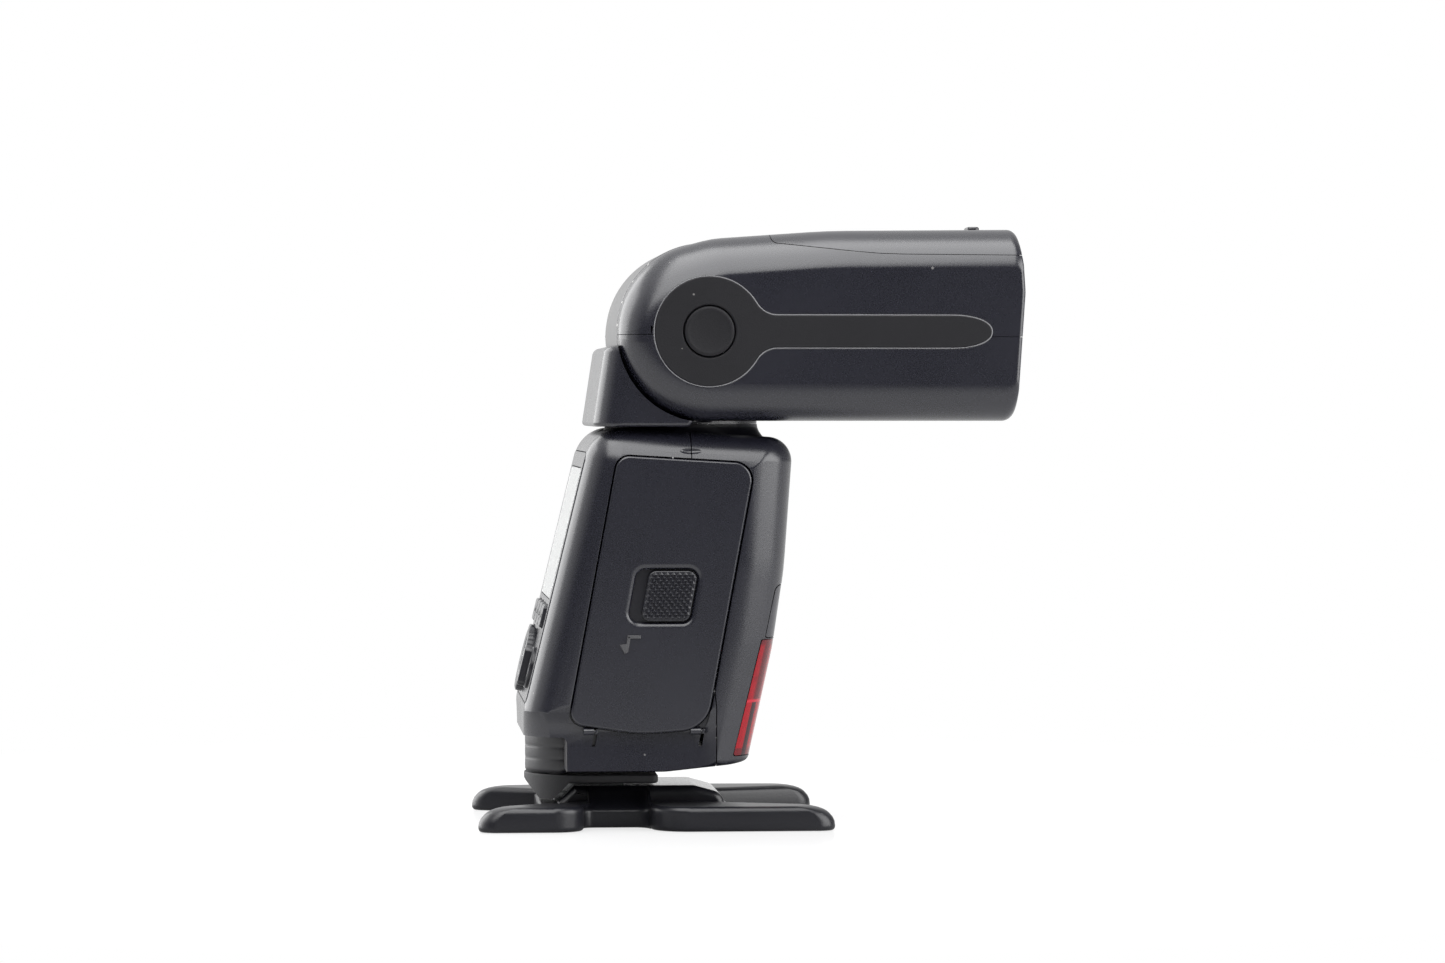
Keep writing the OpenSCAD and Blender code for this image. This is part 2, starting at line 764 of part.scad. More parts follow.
module door_latch() {
    flange_w = 1.6;
    flange_h = 2.4;
    sunk = 0.1;
    color("#151516") translate([latch_rest, 0, 0]) {
        side_plate(door_y + sunk, door_y + door_t + latch_lip) translate([latch_x, latch_z])
            latch_outline(latch_w, latch_h);
        side_plate(door_y + door_t + seat_gap, door_y + door_t + latch_lip) translate([latch_x, latch_z])
            latch_outline(latch_w + flange_w, latch_h + flange_h);
    }
}

// Cells

module battery_holder() {
    color("#2c2c2e") at_cells() difference() {
        translate([-holder_half, holder_y0, -holder_half_l])
            cube([2 * holder_half, holder_depth, 2 * holder_half_l]);
        translate([holder_wall - holder_half, holder_y0 - 1, holder_wall - holder_half_l])
            cube([2 * (holder_half - holder_wall), holder_depth - holder_wall + 1,
                2 * (holder_half_l - holder_wall)]);
    }
}

// Places a cell's axis, turning every second one end for end
module at_each_cell() {
    for (i = [-1, 1], j = [0, 1])
        translate([i * cell_pitch / 2, holder_y0 + seat_gap + cell_pitch * (j + 0.5), 0])
            rotate([i * (2 * j - 1) > 0 ? 180 : 0, 0, 0]) children();
}

module battery_cells() {
    nub_h = 1.3;
    nub_r = 2.7;
    color("#c08a2e") at_cells() at_each_cell() {
        translate([0, 0, -cell_l / 2]) cylinder(r = cell_r, h = cell_l - nub_h);
        translate([0, 0, cell_l / 2 - nub_h - eps]) cylinder(r = nub_r, h = nub_h + eps);
    }
}

module battery_contacts() {
    plate_r = 5.5;
    plate_t = 0.5;
    stud_r = 2;
    spring_r = 3.6;
    spring_inner_r = 2.8;
    reach = contact_space - plate_t - 0.2;
    start = cell_l / 2 + 0.1;
    color("#c7c9cb") at_cells() at_each_cell() {
        for (end = [0, 1]) mirror([0, 0, end]) translate([0, 0, start + reach])
            cylinder(r = plate_r, h = plate_t);
        translate([0, 0, start]) cylinder(r = stud_r, h = reach + eps);
        mirror([0, 0, 1]) translate([0, 0, start]) difference() {
            cylinder(r = spring_r, h = reach + eps);
            translate([0, 0, -1]) cylinder(r = spring_inner_r, h = reach + 0.8);
        }
    }
}

module main_capacitor() {
    capacitor_l = 49;
    color("#23272e") at_cells() translate([0, holder_y0 + holder_depth + 0.3 + capacitor_r, -25])
        cylinder(r = capacitor_r, h = capacitor_l);
}

// Control panel and what sits in it

module main_board() {
    board_n = -6.6;
    board_t = 1.4;
    side_room = 3;
    color("#1f5a36") at_panel(0, 0, board_n) translate([panel_u0 + 4, -panel_half + side_room, 0])
        cube([panel_u1 - panel_u0 - 9, 2 * (panel_half - side_room), board_t]);
}

module lcd_module() {
    module_n = -4.6;
    module_t = 2.6;
    rim = 0.5;
    color("#8b948c") at_panel(0, 0, module_n) translate([lcd_u0 - rim, -lcd_half - rim, 0])
        cube([lcd_u1 - lcd_u0 + 2 * rim, 2 * (lcd_half + rim), module_t]);
}

module lcd_plate(grow, h) {
    translate([(lcd_u0 + lcd_u1) / 2, 0, 0]) linear_extrude(h)
        round_rect(lcd_u1 - lcd_u0 + 2 * grow, 2 * (lcd_half + grow), 2);
}

module lcd_window() {
    glass_t = 1.2;
    color("#5a6266") at_panel(0, 0, -glass_t) lcd_plate(0, glass_t);
}

function key_v(i) = (i - 2.5) * key_pitch;

module control_panel() {
    color("#1b1b1d") at_panel(0, 0, -panel_t) difference() {
        translate([(panel_u0 + panel_u1) / 2, 0, 0]) linear_extrude(panel_t)
            round_rect(panel_u1 - panel_u0, 2 * panel_half, 2);
        translate([0, 0, -1]) lcd_plate(window_gap, 5);
        for (i = [1 : 4]) translate([key_u, key_v(i), -1]) linear_extrude(5)
            round_rect(key_h + 2 * button_gap, key_w + 2 * button_gap, 1);
        for (u = side_keys) translate([u, side_key_v, -1]) linear_extrude(5)
            round_rect(side_key_h + 2 * button_gap, side_key_w + 2 * button_gap, 2);
        translate([dial_u, 0, -1]) cylinder(r = dial_r + button_gap, h = 5);
        translate([switch_u, switch_v, -1]) cylinder(r = switch_r + button_gap, h = 5);
    }
}

module key(u, v, h, w, r, proud) {
    at_panel(u, v, -key_root) linear_extrude(key_root + proud) round_rect(h, w, r);
}

module function_button(i) {
    color("#26272a") key(key_u, key_v(i), key_h, key_w, 0.8, key_proud);
}

module function_button_1() { function_button(1); }
module function_button_2() { function_button(2); }
module function_button_3() { function_button(3); }
module function_button_4() { function_button(4); }

module wireless_button() {
    color("#202124") key(side_keys[0], side_key_v, side_key_h, side_key_w, 1.8, side_key_proud);
}

module test_button() {
    color("#202124") key(side_keys[1], side_key_v, side_key_h, side_key_w, 1.8, side_key_proud);
}

module select_dial() {
    dial_low = -1.2;
    dial_h = 3.4;
    color("#2a2b2e") at_panel(dial_u, 0, dial_low) difference() {
        cylinder(r = dial_r, h = dial_h);
        translate([0, 0, -1]) cylinder(r = set_r + button_gap, h = dial_h + 2);
    }
}

module set_button() {
    set_low = -1.4;
    set_h = 3.2;
    color("#303236") at_panel(dial_u, 0, set_low) cylinder(r = set_r, h = set_h);
}

module power_switch() {
    hub_low = -1.2;
    hub_h = 2.2;
    fin_t = 2.6;
    fin_half = switch_r - 0.4;
    color("#131314") at_panel(switch_u, switch_v, hub_low) {
        cylinder(r = switch_r, h = hub_h);
        translate([-fin_half, -fin_t / 2, hub_h - 0.2]) cube([2 * fin_half, fin_t, 2]);
    }
}

// Terminals on the left side

module terminal_cover() {
    color("#232324") {
        translate([cover_x0, body_half - cover_t, cover_z0]) cube([cover_w, cover_t, cover_h]);
        translate([cover_x0, body_half - cover_t / 2, cover_z0]) cylinder(r = barrel_r, h = cover_h);
    }
}

module terminal_sockets() {
    depth = 6;
    socket_r = 1.75;
    margin = 2;
    color("#3a3b3d") difference() {
        translate([cover_x0 + 1.5, body_half - wall - seat_gap - depth, cover_z0 - margin])
            cube([cover_w - 2, depth, cover_h + 2 * margin]);
        for (z = [cover_z0 + 6, cover_z0 + 17]) translate([cover_x0 + cover_w / 2 + 0.5, body_half, z])
            rotate([90, 0, 0]) cylinder(r = socket_r, h = depth);
    }
}

// Yoke between the body and the head

module yoke_saddle() {
    color("#1c1c1e") difference() {
        union() {
            side_plate(-yoke_half, yoke_half) polygon([[yoke_rear_x, yoke_z], [saddle_front_x, yoke_z],
                [yoke_tip_x, yoke_top_z], [yoke_top_x, yoke_top_z]]);
            translate([swivel_x, 0, yoke_z]) cylinder(r = disc_r, h = disc_h);
            translate([neck_rear_x, -drum_half + seat_gap, yoke_z])
                cube([saddle_neck_x - neck_rear_x, drum_w - 2 * seat_gap, yoke_top_z - yoke_z - 6]);
        }
        tilt_cylinder(drum_r + 0.1, -drum_half - 0.2, drum_half + 0.2);
        for (y0 = [drum_half + 0.1, -yoke_half - 1])
            tilt_cylinder(cradle_r, y0, y0 + yoke_half - drum_half + 0.9);
        intersection() {
            tilt_cylinder(bulkhead_r + tongue_room, -drum_half + 0.6, drum_half - 0.6);
            translate([pivot_x - 60, -60, tongue_low_z]) cube([60, 120, 60]);
        }
        translate([swivel_x, 0, yoke_z - 1]) cylinder(r = passage_r, h = 40);
    }
}

module yoke_drum() {
    shell = 2;
    color("#232325") difference() {
        tilt_cylinder(drum_r, -drum_half, drum_half);
        tilt_cylinder(drum_r - shell, shell - drum_half, drum_half - shell);
        tilt_cylinder(tilt_pin_r + run_gap, -drum_half - 1, drum_half + 1);
        translate([swivel_x, 0, yoke_z - 5]) cylinder(r = passage_r, h = cheek_r);
    }
}

module tilt_pins() {
    color("#a9abae") {
        tilt_cylinder(tilt_pin_r, pin_inner, pin_outer);
        tilt_cylinder(tilt_pin_r, -pin_outer, -pin_inner);
    }
}

module swivel_spindle() {
    color("#a2a4a7") translate([swivel_x, 0, spindle_z0]) difference() {
        cylinder(r = spindle_r, h = yoke_z - spindle_z0);
        translate([0, 0, -1]) cylinder(r = passage_r, h = yoke_z - spindle_z0 + 2);
    }
}

module spindle_ring() {
    ring_w = 3;
    ring_t = 1.5;
    color("#8a8c8f") translate([swivel_x, 0, spindle_z0 + 0.2]) difference() {
        cylinder(r = spindle_r + ring_w, h = ring_t);
        translate([0, 0, -1]) cylinder(r = spindle_r + run_gap, h = ring_t + 2);
    }
}

// Head shells

// Spoon outline: a disc that blends into an arm with a pointed round tip
module insert_outline(grow) {
    r = insert_r + grow;
    h = insert_arm + grow;
    blend = insert_blend - grow;
    cx = sqrt(pow(r + blend, 2) - pow(h + blend, 2));
    meet = atan2(h + blend, cx);
    tip = insert_tip_x - pivot_x + grow;
    upper = concat(arc_points([0, 0], r, 180, meet), arc_points([cx, h + blend], blend, 180 + meet, 270),
        [[tip - 5.5, h], [tip - 3.4, h * 0.85], [tip - 1.4, h * 0.5]]);
    lower = [for (i = [len(upper) - 1 : -1 : 1]) [upper[i].x, -upper[i].y]];
    translate([pivot_x, pivot_z]) polygon(concat(upper, [[tip, h * 0.13], [tip, -h * 0.13]], lower));
}

module insert_recess(s) {
    side = s * head_half;
    inner = side - s * insert_depth;
    side_plate(min(inner, side + s), max(inner, side + s)) insert_outline(0.15);
}

module head_cuts() {
    far = head_w;
    side_plate(-drum_half - cheek_gap, drum_half + cheek_gap) translate([pivot_x, pivot_z])
        polygon(concat(arc_points([0, 0], cradle_r, bulkhead_angle, tongue_angle),
            [far * [cos(tongue_angle), sin(tongue_angle)], [-far, far], [-far, -far], [0, -far],
                far * [cos(bulkhead_angle), sin(bulkhead_angle)]]));
    tilt_cylinder(lock_button_r + 0.2, -head_half - 1, -head_half + wall + 1);
    for (s = [-1, 1]) insert_recess(s);
}

// Bracket inside the head: two cheek walls that turn on the tilt pins, and the round wall between them
module head_bracket() {
    low = bulkhead_angle + 3;
    high = 60;
    inner = drum_half + cheek_gap;
    color("#2a2a2c") difference() {
        union() {
            for (y0 = [-inner - disc_wall, inner]) side_plate(y0, y0 + disc_wall)
                translate([pivot_x, pivot_z]) polygon(concat(arc_points([0, 0], bulkhead_r, low, high),
                    arc_points([0, 0], bracket_r, high, low + 360)));
            side_plate(-inner - 0.5, inner + 0.5) translate([pivot_x, pivot_z])
                polygon(concat(arc_points([0, 0], bulkhead_r - 0.1, low, high),
                    arc_points([0, 0], cradle_r, high, low)));
        }
        tilt_cylinder(tilt_pin_r + run_gap, -head_half, head_half);
    }
}

module cover_prism(grow) {
    x = cover_seam_x - grow;
    low = head_top - cover_drop - grow;
    side_plate(-head_w, head_w) polygon([[x, head_top + 9], [x, low + 5.2], [x + 1.5, low + 3],
        [x + 7.7, low + 2.3], [x + 20, low + 0.9], [x + 32, low + 0.2], [head_front + 5, low],
        [head_front + 5, head_top + 9]]);
}

module above_seam(s) {
    rear = [pivot_x - 2 * cheek_r, pivot_z - seam_rear_drop + s * seam_gap];
    front = [head_front + cheek_r, pivot_z - seam_front_drop + s * seam_gap];
    side_plate(-head_w, head_w) polygon([rear, front, front + [0, s * head_w], rear + [0, s * head_w]]);
}

module rod_bore(y, z, r) {
    translate([pivot_x, y, z]) rotate([0, 90, 0]) cylinder(r = r, h = head_reach);
}

module rod_post(x, y, z0, z1) {
    post_half = 2;
    translate([x, y - post_half, z0]) cube([post, 2 * post_half, z1 - z0]);
}

module head_half_shell(s) {
    difference() {
        intersection() {
            head_wall();
            above_seam(s);
        }
        head_cuts();
    }
}

module head_lower_shell() {
    color("#1d1d1f") difference() {
        union() {
            head_half_shell(-1);
            for (x = [rod_x0, front_post_x]) rod_post(x, rod_y, head_floor + wall / 2, rod_low_z + 2);
            rod_post(front_post_x, -rod_y, head_floor + wall / 2, rod_low_z + 2);
        }
        rod_bore(rod_y, rod_low_z, rod_r + rod_fit);
        rod_bore(-rod_y, rod_low_z, screw_r + run_gap);
    }
}

module head_upper_shell() {
    color("#1d1d1f") difference() {
        head_half_shell(1);
        cover_prism(0.1);
    }
}

// Tray under the top cover: the two panels lie on it, and the upper guide rod hangs below it
module panel_tray() {
    tray_half = lens_half - 2 * seat_gap;
    color("#29292b") difference() {
        union() {
            translate([rod_x0, -tray_half, shelf_z])
                cube([lens_x - rod_x0 - seat_gap, 2 * tray_half, shelf_t]);
            for (x = [rod_x0, front_post_x]) rod_post(x, rod_y, rod_high_z - 2.5, shelf_z + shelf_t / 2);
        }
        rod_bore(rod_y, rod_high_z, rod_r + rod_fit);
    }
}

module head_top_cover() {
    color("#1f1f21") difference() {
        intersection() {
            head_wall();
            cover_prism(0);
        }
        translate([grip_x - grip_gap, -grip_half - grip_gap, shelf_z])
            cube([30, 2 * (grip_half + grip_gap), 20]);
    }
}

module side_insert(s) {
    y0 = s * (head_half - insert_depth + 0.05);
    y1 = s * (head_half + insert_proud);
    color("#333334") side_plate(min(y0, y1), max(y0, y1)) insert_outline(0);
}

module side_insert_right() {
    difference() {
        side_insert(-1);
        tilt_cylinder(lock_button_r + 0.2, -head_half - 2, -head_half + 2);
    }
}

module side_insert_left() {
    side_insert(1);
}

module head_lock_button() {
    proud = insert_proud + 0.4;
    depth = 4.2;
    color("#2c2c2d") tilt_cylinder(lock_button_r, -head_half - proud, -head_half + depth);
}

// Optics and the zoom drive

module fresnel_lens() {
    foot_corner = head_fillets[0];
    top_corner = 0.5;
    color("#cfd6d8") translate([lens_x, 0, 0]) rotate([90, 0, 90]) linear_extrude(lens_t)
        polygon(rounded([[-lens_half, lens_z0, foot_corner], [lens_half, lens_z0, foot_corner],
            [lens_half, lens_z1, top_corner], [-lens_half, lens_z1, top_corner]]));
}

module wide_panel() {
    wide_z = shelf_z + 2.8;
    wide_t = 1.4;
    wide_half = 29;
    wide_l = 37;
    nub_half = 3.5;
    grip_top = head_top - grip_gap;
    color("#dfe6e8") {
        translate([grip_x - 28, -wide_half, wide_z]) cube([wide_l, 2 * wide_half, wide_t]);
        translate([grip_x, -grip_half, wide_z]) cube([9.9, 2 * grip_half, grip_top - wide_z]);
        translate([grip_x + 1.3, -nub_half, grip_top - 0.1]) cube([3.1, 2 * nub_half, 2]);
    }
}

module catchlight_panel() {
    card_half = 27;
    card_l = 38;
    card_t = 1;
    color("#f2f2ee") translate([grip_x - 29, -card_half, shelf_z + shelf_t + 0.4])
        cube([card_l, 2 * card_half, card_t]);
}

// Half of the trough's cross-section, from its back to its mouth
trough = [[0, 0], [0, 3], [2, 7.5], [8, 13], [trough_depth, 16]];
trough_inner = [for (p = trough) [p.x + reflector_t + 0.1, max(0, p.y - reflector_t)]];

module mirrored_outline(half) {
    polygon(concat(half, [for (i = [len(half) - 1 : -1 : 0]) [half[i].x, -half[i].y]]));
}

module reflector() {
    color("#d7d9da") translate([reflector_x, 0, optic_z]) difference() {
        side_plate(-reflector_half, reflector_half) mirrored_outline(trough);
        side_plate(reflector_t - reflector_half, reflector_half - reflector_t) mirrored_outline(trough_inner);
        translate([tube_x - reflector_x, reflector_half + 1, 0]) rotate([90, 0, 0])
            cylinder(r = tube_r + run_gap, h = 2 * reflector_half + 2);
    }
}

module flash_tube() {
    reach = reflector_half + 1.5;
    color("#e7eef0") translate([tube_x, reach, optic_z]) rotate([90, 0, 0])
        cylinder(r = tube_r, h = 2 * reach);
}

module zoom_carriage() {
    eye = 1.8;
    bar = 1.7;
    back_half = 12;
    back_t = 1.5;
    half = rod_y + eye;
    color("#3b3c3e") difference() {
        union() {
            translate([carriage_x, -half, rod_low_z - bar]) cube([carriage_t, 2 * half, 2 * bar]);
            translate([carriage_x, -back_half, rod_low_z + bar - 0.1])
                cube([back_t, 2 * back_half, optic_z + 8.1 - rod_low_z - bar]);
            translate([carriage_x, rod_y - eye, rod_low_z])
                cube([carriage_t, 2 * eye, rod_high_z + bar - rod_low_z]);
        }
        rod_bore(rod_y, rod_low_z, rod_r + run_gap);
        rod_bore(rod_y, rod_high_z, rod_r + run_gap);
        rod_bore(-rod_y, rod_low_z, screw_r + run_gap);
    }
}

module guide_rods() {
    color("#c4c6c8") for (z = [rod_low_z, rod_high_z]) translate([rod_x0, rod_y, z]) rotate([0, 90, 0])
        cylinder(r = rod_r, h = rod_front_x - rod_x0);
}

module zoom_screw() {
    start = carriage_x - 0.4;
    color("#b4b6b8") translate([start, -rod_y, rod_low_z]) rotate([0, 90, 0])
        cylinder(r = screw_r, h = rod_front_x - start);
}

module zoom_motor() {
    motor_l = 9;
    color("#9a9c9f") translate([carriage_x - motor_l - 0.6, -rod_y, rod_low_z]) rotate([0, 90, 0])
        cylinder(r = motor_r, h = motor_l);
}

module trigger_board() {
    board_x = pivot_x + bulkhead_r + 0.4;
    board_t = 1.4;
    board_half = 18;
    board_h = 22;
    color("#1f5a36") {
        translate([board_x, -board_half, optic_z - board_h / 2]) cube([board_t, 2 * board_half, board_h]);
        for (y = [-14, 9]) translate([board_x + board_t - 0.1, y, optic_z - 8]) cube([2, 5, 9]);
    }
}

stand_base();
thread_insert();
mounting_foot();
foot_contacts();
foot_screws();
foot_skirt();
foot_base();
lock_lever();
lock_pin();
body_front_shell();
body_rear_shell();
swivel_collar();
battery_door();
door_hinge_bracket();
door_latch();
battery_holder();
battery_cells();
battery_contacts();
main_capacitor();
main_board();
lcd_module();
lcd_window();
control_panel();
function_button_1();
function_button_2();
function_button_3();
function_button_4();
wireless_button();
test_button();
select_dial();
set_button();
power_switch();
terminal_cover();
terminal_sockets();
focus_lamp_window();
focus_lamps();
sensor_window();
yoke_saddle();
yoke_drum();
tilt_pins();
swivel_spindle();
spindle_ring();
head_bracket();
head_lower_shell();
head_upper_shell();
head_top_cover();
panel_tray();
side_insert_right();
side_insert_left();
head_lock_button();
fresnel_lens();
wide_panel();
catchlight_panel();
reflector();
flash_tube();
zoom_carriage();
guide_rods();
zoom_screw();
zoom_motor();
trigger_board();
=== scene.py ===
# %% [markdown]
# # A camera flash on its table stand
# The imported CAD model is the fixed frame: every piece here is built in its coordinates, so nothing is fitted
# afterwards. Loading it first gives the boxes of the CAD nodes and the axes of the joints, and most sizes
# below are read from those. One could also model freely and scale at the end, but then nothing would meet.

# %% Frame
import json
import math

import bmesh
import bpy
import numpy as np
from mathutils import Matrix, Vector


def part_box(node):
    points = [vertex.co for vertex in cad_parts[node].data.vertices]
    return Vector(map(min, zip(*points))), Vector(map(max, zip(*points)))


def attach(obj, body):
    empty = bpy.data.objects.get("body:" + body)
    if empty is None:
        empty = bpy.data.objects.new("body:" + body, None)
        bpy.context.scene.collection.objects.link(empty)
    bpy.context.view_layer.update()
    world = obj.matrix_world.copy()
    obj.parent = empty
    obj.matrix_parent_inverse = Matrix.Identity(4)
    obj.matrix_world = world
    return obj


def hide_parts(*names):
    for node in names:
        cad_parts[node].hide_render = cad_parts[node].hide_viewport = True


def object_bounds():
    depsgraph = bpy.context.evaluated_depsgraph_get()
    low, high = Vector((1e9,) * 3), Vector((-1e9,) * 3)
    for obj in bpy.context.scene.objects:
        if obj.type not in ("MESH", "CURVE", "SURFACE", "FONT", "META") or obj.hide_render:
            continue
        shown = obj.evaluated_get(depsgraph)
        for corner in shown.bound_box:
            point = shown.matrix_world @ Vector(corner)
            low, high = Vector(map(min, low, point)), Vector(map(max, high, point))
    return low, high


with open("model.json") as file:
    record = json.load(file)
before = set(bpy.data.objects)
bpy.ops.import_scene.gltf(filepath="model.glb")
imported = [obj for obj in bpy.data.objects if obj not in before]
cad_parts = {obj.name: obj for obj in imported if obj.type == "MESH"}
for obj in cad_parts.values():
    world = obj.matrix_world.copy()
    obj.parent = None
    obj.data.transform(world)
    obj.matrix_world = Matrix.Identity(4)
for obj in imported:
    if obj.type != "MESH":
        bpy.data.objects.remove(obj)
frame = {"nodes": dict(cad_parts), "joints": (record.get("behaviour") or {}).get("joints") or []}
cad_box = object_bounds()
scene = bpy.context.scene
MM = 0.001
joints = {joint["name"]: joint for joint in frame["joints"]}


def span(*nodes):
    """Lowest and highest corner of CAD nodes, in millimetres."""
    corners = np.array([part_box(node) for node in nodes]) / MM
    return corners[:, 0].min(0), corners[:, 1].max(0)


def axis_place(joint):
    """A point on a joint's axis, in millimetres."""
    return np.array(joints[joint]["pos_m"]) / MM


print("CAD box in mm:", [round(float(c) / MM, 1) for corner in cad_box for c in corner])

# %% [markdown]
# ## Camera, floor and light
# The photograph was taken with a long lens, a little from the rear and with the camera level with the head.
# The camera could be matched by eye, but a focal length in pixels, a yaw and a horizon line give it directly.
# The room is white behind the flash and dim behind the camera: that is why the flat sides look almost black
# while every edge that turns away shines. The world colours its directions that way.

# %% Camera
IMAGE_W, IMAGE_H = 1445, 963
FOCAL_PX = 4720
HORIZON_PX = 408
YAW = math.radians(4.4)
CAMERA_MM = (-72.2, -1177.9, 102.85)

lens = bpy.data.cameras.new("camera")
lens.sensor_width = 36
lens.lens = lens.sensor_width * FOCAL_PX / IMAGE_W
lens.clip_start = 0.05
camera = bpy.data.objects.new("camera", lens)
camera.location = Vector(CAMERA_MM) * MM
pitch = math.atan((IMAGE_H / 2 - HORIZON_PX) / FOCAL_PX)
camera.rotation_euler = (math.pi / 2 - pitch, 0, -YAW)
scene.collection.objects.link(camera)
scene.camera = camera
scene.view_settings.view_transform = "Standard"
print("lens", round(lens.lens, 1), "mm, pitch", round(math.degrees(pitch), 2), "degrees")

# %% [markdown]
# Light, finishes and repeats are all node trees. Wiring each sum by hand hides what it says, so a node's output
# is held in a small class that adds the right Math node when it meets +, -, * or a comparison. A | takes the
# larger of two.

# %% Node helpers


class Wire:
    """Output of a node, with which sums can be written as formulas."""

    def __init__(self, socket):
        self.socket = socket
        self.tree = socket.id_data

    def do(self, operation, *values):
        """Result of one arithmetic step."""
        return math_node(self.tree, operation, self, *values)

    def __add__(self, other):
        return self.do("ADD", other)

    def __sub__(self, other):
        return self.do("SUBTRACT", other)

    def __rsub__(self, other):
        return math_node(self.tree, "SUBTRACT", other, self)

    def __mul__(self, other):
        return self.do("MULTIPLY", other)

    def __or__(self, other):
        return self.do("MAXIMUM", other)

    def __gt__(self, other):
        return self.do("GREATER_THAN", other)

    def __lt__(self, other):
        return self.do("LESS_THAN", other)

    def __abs__(self):
        return self.do("ABSOLUTE")


def feed(socket, value):
    """Links an output, or a node's first output, to a socket, or sets the socket to a constant."""
    if isinstance(value, bpy.types.Node):
        value = value.outputs[0]
    value = value.socket if isinstance(value, Wire) else value
    if isinstance(value, bpy.types.NodeSocket):
        socket.id_data.links.new(value, socket)
    else:
        socket.default_value = value


def give(node, **values):
    """Sets a node's inputs by name, or its properties where no input has that name."""
    sockets = {socket.name.lower().replace(" ", "_"): socket for socket in node.inputs}
    for key, value in values.items():
        if key in sockets:
            feed(sockets[key], value)
        else:
            setattr(node, key, value)
    return node


def add(tree, kind, **values):
    """Adds a node with its inputs and properties."""
    return give(tree.nodes.new(kind), **values)


def wire(tree, kind, output=0, **values):
    """Adds a node and gives one of its outputs."""
    return Wire(add(tree, kind, **values).outputs[output])


def math_node(tree, operation, *values):
    """Result of a Math node."""
    made = add(tree, "ShaderNodeMath", operation=operation)
    for socket, value in zip(made.inputs, values):
        feed(socket, value)
    return Wire(made.outputs[0])


def remap(value, low, high, to_low, to_high):
    """Value stretched from one range to another, without overshooting."""
    ranged = add(value.tree, "ShaderNodeMapRange", value=value)
    for socket, number in zip(ranged.inputs[1:5], (low, high, to_low, to_high)):
        feed(socket, number)
    return Wire(ranged.outputs["Result"])


# %% World
CAMERA_SIDE_LEVEL = 0.03
WALL_LEVEL = 1.0
RIGHT_LEVEL = 0.3
RIGHT_FROM, RIGHT_TO = 0.05, 0.75
WALL_TURN = 0.35
WALL_FADE = 0.3


def xyz(vector):
    """The three parts of a vector."""
    parts = add(vector.tree, "ShaderNodeSeparateXYZ", vector=vector)
    return [Wire(part) for part in parts.outputs]


def ray_kinds(tree):
    """1 for rays that show a thing to the camera, straight or through glass, and 1 for mirrored rays."""
    rays = add(tree, "ShaderNodeLightPath")
    straight, through, mirrored = (Wire(rays.outputs[f"Is {kind} Ray"])
                                   for kind in ("Camera", "Transmission", "Glossy"))
    return straight | through, mirrored


world = bpy.data.worlds.new("studio")
world.use_nodes = True
scene.world = world
tree = world.node_tree
background = tree.nodes["Background"]
to_right, to_wall, _ = xyz(wire(tree, "ShaderNodeTexCoord", "Generated"))
right = remap(to_right, RIGHT_FROM, RIGHT_TO, WALL_LEVEL, RIGHT_LEVEL)
wall = remap(to_wall - to_right * WALL_TURN, -WALL_FADE, WALL_FADE, CAMERA_SIDE_LEVEL, right)
seen, _ = ray_kinds(tree)
give(background, color=(1, 1, 1, 1), strength=seen + (1.0 - seen) * wall)
print("world from", CAMERA_SIDE_LEVEL, "behind the camera to", WALL_LEVEL, "at the wall")

# %% Lamps
MIDDLE = (0.02, 0, 0.09)
# place, width and depth in metres, watts
LAMPS = {"top_box": ((-0.12, -0.36, 1.05), 1.1, 1.75, 26),
         "rear_box": ((-0.95, 0.8, 0.45), 1.2, 1.0, 11),
         "right_box": ((0.95, -0.5, 0.35), 1.15, 1.2, 20)}

for name, (place, width, depth, watts) in LAMPS.items():
    data = bpy.data.lights.new(name, "AREA")
    data.shape = "RECTANGLE"
    data.size, data.size_y = width, depth
    data.energy = watts
    lamp = bpy.data.objects.new(name, data)
    lamp.location = place
    lamp.rotation_euler = (Vector(MIDDLE) - Vector(place)).to_track_quat("-Z", "Y").to_euler()
    scene.collection.objects.link(lamp)
print("lamps", list(LAMPS))

# %% [markdown]
# The floor is a white paper sweep. The camera sees it as pure white except near the stand, where the shadow is
# mixed in. What mirrors in the flash is a floor that gets darker towards the camera, with a painted shadow right
# under the stand.

# %% Floor
FLOOR_SIZE = 6.0
FLOOR_DROP = 0.0002
SHADOW_SHARE = 0.3
SHADOW_REACH = 0.3
SHADOW_CORE = 0.4
CAMERA_SIDE_YS = (-0.8, -0.2)
CAMERA_SIDE_DIM = 0.95
# painted shadow: the floor that mirrors in the flash is dimmed right under the stand
PAINTED_SHADOW_REACH = (0.035, 0.08)
PAINTED_SHADOW_DIM = 0.8

bpy.ops.mesh.primitive_plane_add(size=FLOOR_SIZE)
floor = bpy.context.object
floor.name = "floor"
floor.location.z = cad_box[0].z - FLOOR_DROP
paper = bpy.data.materials.new("white_sweep")
paper.use_nodes = True
tree = paper.node_tree
sheen = tree.nodes["Principled BSDF"]
give(sheen, base_color=(0.93, 0.93, 0.94, 1), roughness=0.16, specular_ior_level=0.35)
seen, mirrored = ray_kinds(tree)
spot = wire(tree, "ShaderNodeTexCoord", "Object")
length = add(tree, "ShaderNodeVectorMath", operation="LENGTH")
feed(length.inputs[0], spot)
away = Wire(length.outputs["Value"])
white = remap(away, SHADOW_REACH * SHADOW_CORE, SHADOW_REACH, 1 - SHADOW_SHARE, 1)
